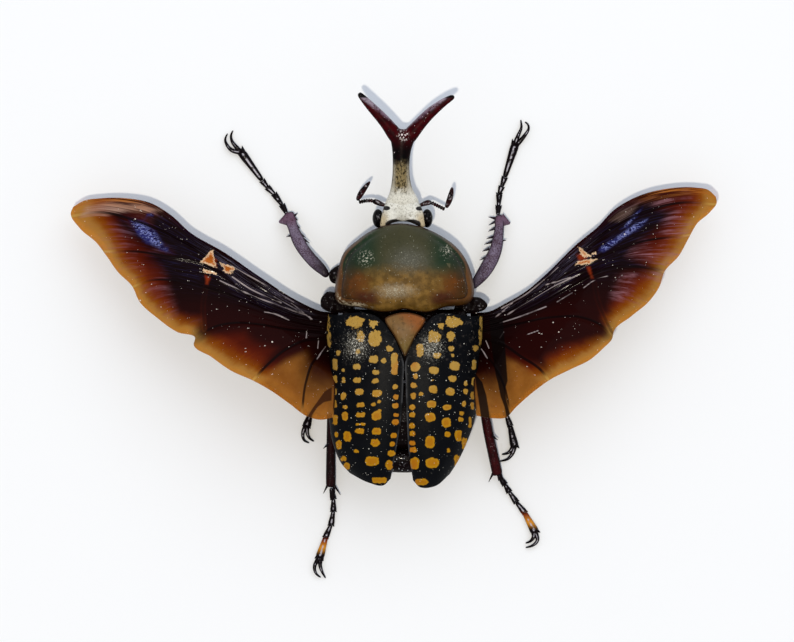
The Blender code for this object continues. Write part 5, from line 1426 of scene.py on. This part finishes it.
def wing_rays(side):
    """Lines from root to margin: the veins and those between them, curved to meet the margin.

    Also gives each ray's place between the veins, its panel's width and its relief, and the
    margin itself.
    """
    lines = [along(vein, WING_ROWS) for vein in WINGS[side]["veins"]]
    edge = along(WINGS[side]["margin"], MARGIN_POINTS)
    ends = [int(np.argmin(np.hypot(*(edge - line[-1]).T))) for line in lines]
    share = np.linspace(0.0, 1.0, WING_ROWS)
    rays = []
    across = []
    widths = []
    relief = []
    for k in range(len(lines) - 1):
        here, there = lines[k], lines[k + 1]
        distance = np.hypot(*(there - here).T)
        last = k == len(lines) - 2
        for step in range(PANEL_RAYS + (1 if last else 0)):
            part = step / PANEL_RAYS
            target = edge[int(round(ends[k] + (ends[k + 1] - ends[k]) * part))]
            pull = target - (here[-1] + (there[-1] - here[-1]) * part)
            rays.append(here + (there - here) * part + pull * (share ** 3)[:, None])
            across.append(k + part)
            widths.append(distance)
            relief.append(wing_relief(k, part, distance, share))
    return np.array(rays), np.array(across), np.array(widths), np.array(relief), edge


def wing_relief(panel, part, distance, share):
    """Raised veins, panels that swell up and down in turn, and pleats near the root."""
    from_vein = np.minimum(part, 1 - part) * distance
    tall = FRONT_VEIN_HEIGHT if panel < 2 else VEIN_HEIGHT
    ridge = np.exp(-(from_vein / VEIN_HALF_WIDTH) ** 2) * (1 - 0.85 * share ** 2)
    way = 1 if panel % 2 else -1
    swell = 0.07 * np.sin(pi * part) * way * np.clip(distance / 3.0, 0.0, 1.0)
    pleats = 0.05 * np.sin(6 * pi * part) * (panel < 4) * np.clip((0.7 - share) / 0.2, 0.0, 1.0)
    return tall * ridge + swell + pleats


def build_wing(side, paint):
    """The membrane, carrying the numbers that its material reads."""
    rays, across, widths, relief, edge = wing_rays(side)
    share = np.linspace(0.0, 1.0, WING_ROWS)
    chord = np.hypot(rays[:, :, 0] - rays[0, None, :, 0], rays[:, :, 1] - rays[0, None, :, 1])
    tilt = CHORD_TILT * (chord - 4.0) * np.clip(share[None, :] / 0.4, 0.0, 1.0)
    height = wing_level(rays[:, :, 0], rays[:, :, 1]) + relief + tilt
    points = np.dstack([rays, height])
    wing, i, j = spread(WING_ROWS, len(rays), points)
    x = points[i, j, 0]
    y = points[i, j, 1]
    note(wing, "across", across[i])
    note(wing, "out", share[j])
    note(wing, "edge", away_from(edge[::12], x, y))
    note(wing, "width", widths[i, j])
    for name, outlines in PATCHES[side].items():
        note(wing, name, np.max([depth_in(outline, x, y) for outline in outlines], axis=0))
    note(wing, "fold", away_from(along(FOLDS[side], 20), x, y))
    lines = [along(line, 16) for line in PALE_LINES[side]]
    note(wing, "pale", np.min([away_from(line, x, y) for line in lines], axis=0))
    modify(wing, "SOLIDIFY", thickness=WING_THICKNESS, offset=0.0)
    settle(wing, "hindwing_" + side, paint)


# Legs

COXAE = {
    "fore_l": [(-0.9, 7.9, 2.1, 0.6, 0.55), (-1.6, 7.9, 2.1, 1.05, 0.8),
               (-2.8, 7.9, 2.1, 1.25, 0.88), (-3.9, 8.0, 2.2, 1.0, 0.8),
               (-4.4, 8.0, 2.2, 0.7, 0.6)],
    "fore_r": [(0.9, 7.6, 2.1, 0.6, 0.55), (1.6, 7.6, 2.1, 1.05, 0.8), (2.8, 7.6, 2.1, 1.25, 0.88),
               (3.9, 7.6, 2.2, 1.0, 0.8), (4.4, 7.6, 2.2, 0.7, 0.6)],
    "mid_l": [(-1.2, 0.3, 2.0, 0.6, 0.55), (-1.9, 0.3, 2.0, 1.0, 0.75), (-2.9, 0.2, 2.0, 1.1, 0.8),
              (-4.3, 0.1, 2.1, 0.7, 0.6)],
    "mid_r": [(1.2, 0.3, 2.0, 0.6, 0.55), (1.9, 0.3, 2.0, 1.0, 0.75), (2.9, 0.2, 2.0, 1.1, 0.8),
              (4.3, 0.1, 2.1, 0.7, 0.6)],
    "hind_l": [(-0.2, -4.8, 1.9, 0.6, 0.55), (-1.0, -4.8, 1.9, 0.95, 0.75),
               (-3.0, -4.8, 1.9, 1.0, 0.8), (-4.9, -4.9, 2.0, 0.7, 0.6)],
    "hind_r": [(0.2, -4.8, 1.9, 0.6, 0.55), (1.0, -4.8, 1.9, 0.95, 0.75),
               (3.0, -4.8, 1.9, 1.0, 0.8), (4.9, -4.9, 2.0, 0.7, 0.6)],
}
FEMORA = {
    "fore_l": [(-4.4, 8.05, 2.3, 0.6, 0.5), (-4.9, 8.05, 2.35, 0.95, 0.7),
               (-6.5, 8.3, 2.7, 1.6, 0.88), (-8.2, 8.1, 3.2, 1.4, 0.85),
               (-9.1, 7.75, 3.4, 1.05, 0.7), (-9.85, 7.55, 3.45, 0.7, 0.48)],
    "fore_r": [(4.4, 7.6, 2.3, 0.6, 0.5), (4.9, 7.6, 2.35, 0.95, 0.7), (6.2, 7.4, 2.7, 1.5, 0.88),
               (7.5, 7.1, 3.1, 1.6, 0.92), (8.2, 6.8, 3.3, 1.3, 0.78), (8.6, 6.7, 3.4, 0.75, 0.5)],
    "mid_l": [(-4.4, 0.1, 2.2, 0.55, 0.5), (-5.0, 0.1, 2.3, 0.9, 0.65), (-6.8, 0.1, 2.6, 1.15, 0.8),
              (-9.6, -0.1, 3.3, 1.15, 0.8), (-11.6, -0.4, 3.7, 0.7, 0.6)],
    "mid_r": [(4.4, 0.1, 2.2, 0.55, 0.5), (5.0, 0.2, 2.3, 0.9, 0.65), (6.8, 0.5, 2.6, 1.15, 0.8),
              (9.4, 1.1, 3.3, 1.15, 0.8), (11.2, 1.5, 3.7, 0.7, 0.6)],
    "hind_l": [(-5.0, -4.95, 1.9, 0.55, 0.5), (-5.4, -5.3, 1.95, 0.9, 0.65),
               (-6.7, -6.3, 2.2, 1.2, 0.75), (-8.5, -7.9, 2.8, 1.15, 0.75),
               (-9.5, -8.9, 3.1, 0.65, 0.5)],
    "hind_r": [(5.0, -4.95, 1.9, 0.55, 0.5), (5.4, -5.15, 1.95, 0.9, 0.65),
               (6.8, -5.8, 2.2, 1.15, 0.75), (8.7, -6.7, 2.8, 1.1, 0.75),
               (9.9, -7.3, 3.1, 0.65, 0.5)],
}
TIBIAE = {
    "fore_l": [(-10.2, 7.35, -9.75, 8.0, 3.4, 0.32), (-10.9, 7.95, -10.2, 9.0, 3.35, 0.45),
               (-11.9, 8.6, -11.0, 9.9, 3.2, 0.5), (-13.0, 9.75, -11.8, 10.8, 2.9, 0.52),
               (-14.0, 11.0, -12.55, 11.7, 2.6, 0.52), (-14.75, 12.45, -13.05, 12.6, 2.3, 0.5),
               (-15.05, 13.4, -13.55, 13.5, 2.0, 0.46), (-15.25, 14.2, -14.0, 14.5, 1.75, 0.42),
               (-15.75, 15.1, -14.1, 15.3, 1.5, 0.42), (-15.85, 15.75, -14.35, 15.9, 1.35, 0.38),
               (-15.75, 16.1, -14.7, 16.2, 1.3, 0.3)],
    "fore_r": [(8.95, 5.9, 8.5, 6.7, 3.35, 0.3), (9.5, 6.3, 8.85, 7.3, 3.3, 0.45),
               (10.9, 7.5, 9.4, 8.4, 3.1, 0.5), (11.9, 9.0, 10.05, 9.5, 2.8, 0.52),
               (12.5, 10.3, 10.7, 10.5, 2.5, 0.52), (12.8, 11.4, 11.2, 11.6, 2.25, 0.48),
               (12.95, 12.6, 11.5, 12.8, 2.0, 0.45), (12.95, 13.9, 11.75, 14.0, 1.75, 0.42),
               (13.05, 14.6, 11.8, 14.7, 1.6, 0.42), (13.05, 15.3, 11.75, 15.3, 1.4, 0.38),
               (12.75, 15.85, 11.9, 15.85, 1.3, 0.3)],
    "mid_l": [(-11.7, -0.5, -12.1, -0.9, 3.75, 0.35), (-11.5, -1.1, -12.3, -1.6, 3.6, 0.5),
              (-11.0, -3.0, -12.2, -3.4, 3.1, 0.55), (-10.1, -6.2, -11.4, -6.6, 1.8, 0.5),
              (-9.7, -7.1, -10.9, -7.6, 1.4, 0.4)],
    "mid_r": [(11.4, 1.3, 12.2, 1.3, 3.75, 0.35), (11.3, 0.6, 12.5, 0.7, 3.6, 0.5),
              (11.5, -1.5, 12.7, -1.4, 3.1, 0.55), (11.7, -4.4, 13.1, -4.3, 1.8, 0.5),
              (11.7, -5.6, 13.1, -5.5, 1.4, 0.4)],
    "hind_l": [(-9.2, -8.9, -9.9, -9.0, 3.1, 0.35), (-9.1, -9.5, -10.1, -9.6, 3.05, 0.5),
               (-9.05, -12.0, -10.15, -12.0, 2.6, 0.6), (-9.0, -16.5, -10.25, -16.5, 1.7, 0.6),
               (-8.95, -19.4, -10.3, -19.4, 1.2, 0.5), (-9.05, -19.8, -10.2, -19.8, 1.15, 0.35)],
    "hind_r": [(9.8, -7.3, 10.5, -7.1, 3.1, 0.35), (9.8, -8.0, 10.75, -7.8, 3.05, 0.5),
               (9.9, -11.0, 11.2, -10.7, 2.6, 0.6), (10.9, -15.5, 12.2, -15.2, 1.7, 0.6),
               (11.4, -18.0, 12.8, -17.7, 1.2, 0.5), (11.6, -18.4, 12.8, -18.1, 1.15, 0.35)],
}
THORNS = {
    "fore_l": [((-14.95, 15.25), (-16.4, 14.86), 1.05), ((-14.6, 13.15), (-15.45, 12.95)),
               ((-14.5, 15.6), (-13.95, 16.05)), ((-14.5, 15.5), (-13.9, 15.1)),
               ((-14.2, 14.5), (-13.6, 14.05)), ((-13.7, 13.4), (-12.9, 12.85)),
               ((-13.3, 12.7), (-12.35, 12.1))],
    "fore_r": [((12.55, 15.1), (13.8, 14.7), 1.0), ((12.4, 12.4), (13.3, 12.5)),
               ((12.0, 15.3), (10.95, 15.55)), ((12.0, 15.0), (11.0, 14.45)),
               ((11.9, 14.1), (10.95, 13.65)), ((11.7, 12.95), (10.7, 12.7)),
               ((11.5, 12.3), (10.4, 11.95)), ((11.1, 11.4), (10.15, 11.05)),
               ((10.8, 10.3), (9.8, 9.9))],
    "mid_l": [((-10.7, -7.0), (-11.6, -8.1)), ((-10.2, -6.9), (-9.3, -7.9)),
              ((-11.2, -4.6), (-12.3, -5.4))],
    "mid_r": [((12.7, -5.1), (13.3, -6.3)), ((12.1, -5.1), (11.4, -6.2)),
              ((12.7, -3.0), (13.4, -4.0)), ((12.6, -5.3), (12.9, -6.6))],
    "hind_l": [((-9.9, -19.2), (-10.6, -20.6)), ((-9.4, -19.2), (-8.35, -20.8)),
               ((-9.3, -19.4), (-9.1, -20.6)), ((-9.8, -14.0), (-10.6, -14.7))],
    "hind_r": [((11.7, -17.7), (11.0, -19.1)), ((12.4, -17.6), (12.95, -18.8)),
               ((12.2, -17.8), (12.3, -19.0)), ((11.4, -13.0), (12.2, -13.6))],
}
FEET = {
    "fore_l": [(-15.4, 16.0), (-16.0, 17.1), (-17.0, 18.5), (-17.9, 19.4), (-18.6, 20.3),
               (-21.4, 24.1)],
    "fore_r": [(12.2, 15.8), (12.3, 17.0), (12.4, 18.6), (12.7, 19.5), (13.1, 20.7), (14.5, 25.1)],
    "mid_l": [(-10.4, -7.5), (-11.0, -8.3), (-11.6, -9.0), (-12.0, -9.6), (-12.3, -10.2),
              (-12.8, -11.8)],
    "mid_r": [(12.4, -5.7), (12.6, -7.2), (12.9, -8.7), (13.3, -10.2), (13.8, -11.7),
              (14.4, -14.5)],
    "hind_l": [(-9.6, -19.9), (-9.3, -21.3), (-9.3, -22.9), (-9.6, -24.7), (-10.3, -26.3),
               (-11.1, -29.0)],
    "hind_r": [(12.3, -18.2), (13.1, -19.4), (13.7, -20.4), (14.6, -21.7), (15.7, -23.1),
               (17.1, -25.7)],
}
CLAWS = {
    "fore_l": [[(-21.2, 24.0), (-22.7, 24.3), (-23.3, 25.1), (-23.5, 25.7), (-23.1, 26.5)],
               [(-21.3, 23.9), (-22.0, 24.7), (-22.6, 25.5), (-22.7, 26.3), (-22.4, 26.9)]],
    "fore_r": [[(14.4, 24.9), (14.9, 26.3), (15.3, 27.2), (15.2, 28.3)],
               [(14.6, 24.9), (15.8, 26.3), (16.3, 27.2), (16.1, 27.8), (15.7, 28.0)]],
    "mid_l": [[(-12.8, -11.6), (-13.3, -12.7), (-13.1, -13.7), (-12.4, -14.0)],
              [(-12.7, -11.6), (-12.7, -12.8), (-12.4, -13.4), (-11.8, -13.8)]],
    "mid_r": [[(14.4, -14.3), (14.2, -15.2), (13.5, -16.1), (12.4, -16.4)],
              [(14.3, -14.3), (13.8, -15.1), (13.3, -15.4), (12.7, -15.5)]],
    "hind_l": [[(-11.0, -28.8), (-11.8, -30.3), (-11.5, -31.2), (-10.9, -31.6)],
               [(-11.0, -28.8), (-11.0, -30.2), (-10.7, -31.0), (-10.3, -31.7)]],
    "hind_r": [[(17.0, -25.5), (17.4, -26.8), (16.8, -27.4), (15.8, -27.7)],
               [(17.0, -25.5), (16.8, -26.5), (16.4, -26.9), (15.8, -27.1)]],
}
FOOT_DROP = (1.15, 0.7, 0.4, 0.32, 0.32, 0.42)      # height of each point of a foot's route
CLAW_HEIGHTS = (0.4, 0.6, 0.55, 0.35, 0.2)
CLAW_STATIONS = 9
JOINT_HALF = (0.46, 0.31)               # half width and half thickness of a foot joint
LAST_JOINT_HALF = (0.62, 0.4)
TOOTH_HALF_HEIGHT = 0.38
SPINE_RADIUS = 0.23
AMBER_BANDS = {"hind_l": (-28.2, -26.6), "hind_r": (-24.9, -23.2)}


def shin_height(leg, x, y):
    """Height of the shin's middle at its station nearest to a point."""
    near = min(TIBIAE[leg], key=lambda s: hypot((s[0] + s[2]) / 2 - x, (s[1] + s[3]) / 2 - y))
    return near[4]


def foot_joint():
    """One foot joint of unit length along y, flaring to a notched end with two small thorns."""
    body = grow([(0.0, 0.0, 0.0, 0.5, 0.5), (0.0, 0.12, 0.0, 0.62, 0.62), (0.0, 0.55, 0.0, 0.78, 0.8),
                 (0.0, 0.88, 0.0, 1.0, 1.0), (0.0, 1.0, 0.0, 0.86, 0.9)], 12, 2)
    pieces = [body]
    for side in (-1.0, 1.0):
        pieces.append(thorn((0.45 * side, 0.82, -0.2), (0.95 * side, 1.09, -0.5), 0.26, 6))
    return join("foot_joint", pieces)


def copy_joint(model, start, end, wide, thick):
    """Copies the foot joint to lie from start to end."""
    piece = bpy.data.objects.new("joint", model.data.copy())
    bpy.context.scene.collection.objects.link(piece)
    start = Vector(start)
    aim = Vector(end) - start
    heading = atan2(aim.y, aim.x) - pi / 2
    pitch = atan2(aim.z, hypot(aim.x, aim.y))
    turned = Matrix.Rotation(heading, 4, "Z") @ Matrix.Rotation(pitch, 4, "X")
    sized = Matrix.Diagonal((wide, aim.length, thick, 1.0))
    piece.data.transform(Matrix.Translation(start) @ turned @ sized)
    return piece


def build_shin(leg, paint):
    """The shin with its thorns; a thorn given with a radius is a broad flat tooth."""
    pieces = [flat_grow(TIBIAE[leg], 16, 2)]
    for root, tip, *broad in THORNS[leg]:
        z = shin_height(leg, *root)
        if broad:
            pieces.append(thorn((*root, z), (*tip, z), broad[0], 24, TOOTH_HALF_HEIGHT / broad[0]))
        else:
            spine = thorn((*root, z), (*tip, z - 0.1), SPINE_RADIUS, 10)
            note(spine, "thorn", np.ones(len(spine.data.vertices)))
            pieces.append(spine)
    settle(join("tibia", pieces), "tibia_" + leg, paint)


def build_claw(route):
    """A claw along its route in plan, dipping to the floor and tapering to its point."""
    curve = along([(x, y, z) for (x, y), z in zip(route, CLAW_HEIGHTS)], CLAW_STATIONS)
    path = []
    for k, (x, y, z) in enumerate(curve):
        left = 1.0 - k / (CLAW_STATIONS - 1)
        path.append((x, y, z, 0.1 + 0.28 * left, 0.08 + 0.22 * left))
    return grow(path, 10, 1)


def build_foot(leg, model):
    """Five joints, the last one stouter, and two claws."""
    joints = [(*place, drop) for place, drop in zip(FEET[leg], FOOT_DROP)]
    pieces = []
    for start, end in zip(joints[:-1], joints[1:]):
        half = LAST_JOINT_HALF if end is joints[-1] else JOINT_HALF
        pieces.append(copy_joint(model, start, end, *half))
    pieces += [build_claw(route) for route in CLAWS[leg]]
    paint = foot_chitin("foot_" + leg, AMBER_BANDS.get(leg))
    settle(join("tarsus", pieces), "tarsus_" + leg, paint)


def build_leg(leg, model, black, shin_paint):
    settle(grow(COXAE[leg], 20, 2), "coxa_" + leg, black)
    settle(grow(FEMORA[leg], 20, 2), "femur_" + leg, black)
    build_shin(leg, shin_paint)
    build_foot(leg, model)


# Ground, light and camera

FLOOR_SIZE = 2.0
VIEW_CENTRE = (0.000385, 0.00209)   # the photo's middle on the model
VIEW_WIDTH = 0.1032                 # what the photo's width covers at wing height
CAMERA_HEIGHT = 1.0
WING_HEIGHT = 0.0065
SENSOR = 36.0
# a small lamp on the photo's left, a little below its middle, and a wide one above its right:
# name, place, size, power and colour
LAMPS = (("key", (-0.06, -0.125, 1.2), 0.04, 6.6, (1.0, 0.91, 0.74)),
         ("fill", (0.22, 0.6, 0.72), 1.1, 3.0, (0.86, 0.93, 1.0)))
SURROUND = (0.82, 0.88, 1.0, 1.0)
SURROUND_STRENGTH = 0.58


def build_floor():
    deselect()
    bpy.ops.mesh.primitive_plane_add(size=FLOOR_SIZE)
    floor = bpy.context.object
    floor.name = "ground"
    floor.data.materials.append(ground_white())


def build_camera():
    """Looks straight down on the photo's middle."""
    camera_data = bpy.data.cameras.new("camera")
    camera = bpy.data.objects.new("camera", camera_data)
    bpy.context.scene.collection.objects.link(camera)
    camera.location = (*VIEW_CENTRE, CAMERA_HEIGHT)
    camera_data.sensor_width = SENSOR
    camera_data.lens = SENSOR * (CAMERA_HEIGHT - WING_HEIGHT) / VIEW_WIDTH
    camera_data.clip_start = 0.01
    bpy.context.scene.camera = camera


def build_light():
    """Two disc lamps aimed at the beetle, and a cool even surround."""
    for name, where, size, power, colour in LAMPS:
        light = bpy.data.lights.new(name, "AREA")
        light.shape = "DISK"
        light.size = size
        light.energy = power
        light.color = colour
        lamp = bpy.data.objects.new(name, light)
        bpy.context.scene.collection.objects.link(lamp)
        lamp.location = where
        lamp.rotation_euler = (-Vector(where)).to_track_quat("-Z", "Y").to_euler()

    world = bpy.data.worlds.new("studio")
    world.use_nodes = True
    world.node_tree.nodes["Background"].inputs[0].default_value = SURROUND
    world.node_tree.nodes["Background"].inputs[1].default_value = SURROUND_STRENGTH
    bpy.context.scene.world = world
    bpy.context.scene.view_settings.view_transform = "Standard"


body_black = body_chitin()
build_head()
build_horn()
antenna_paint = antenna_chitin()
eye_paint = eye_black()
for side_name in ("l", "r"):
    build_eye(side_name, eye_paint)
    build_antenna(side_name, antenna_paint)
    build_club(side_name, antenna_paint)
build_mouth(body_black)
build_thorax(body_black)
build_abdomen(body_black)
for side_name in ("l", "r"):
    build_case(side_name)
wing_paint = wing_brown()
for side_name in ("l", "r"):
    build_wing(side_name, wing_paint)
shin_paints = {"fore": leg_chitin("shin_mauve", (0.04, 0.013, 0.022), (0.2, 0.16, 0.23)),
               "mid": leg_chitin("shin_black", (0.002, 0.001, 0.001), (0.01, 0.004, 0.004)),
               "hind_l": leg_chitin("shin_umber", (0.0015, 0.001, 0.001), (0.018, 0.0015, 0.002)),
               "hind_r": leg_chitin("shin_brown", (0.01, 0.0008, 0.001), (0.045, 0.0016, 0.0025))}
joint_model = foot_joint()
for leg_name in COXAE:
    shin_paint = shin_paints.get(leg_name) or shin_paints[leg_name.split("_")[0]]
    build_leg(leg_name, joint_model, body_black, shin_paint)
bpy.data.objects.remove(joint_model, do_unlink=True)
build_floor()
build_camera()
build_light()
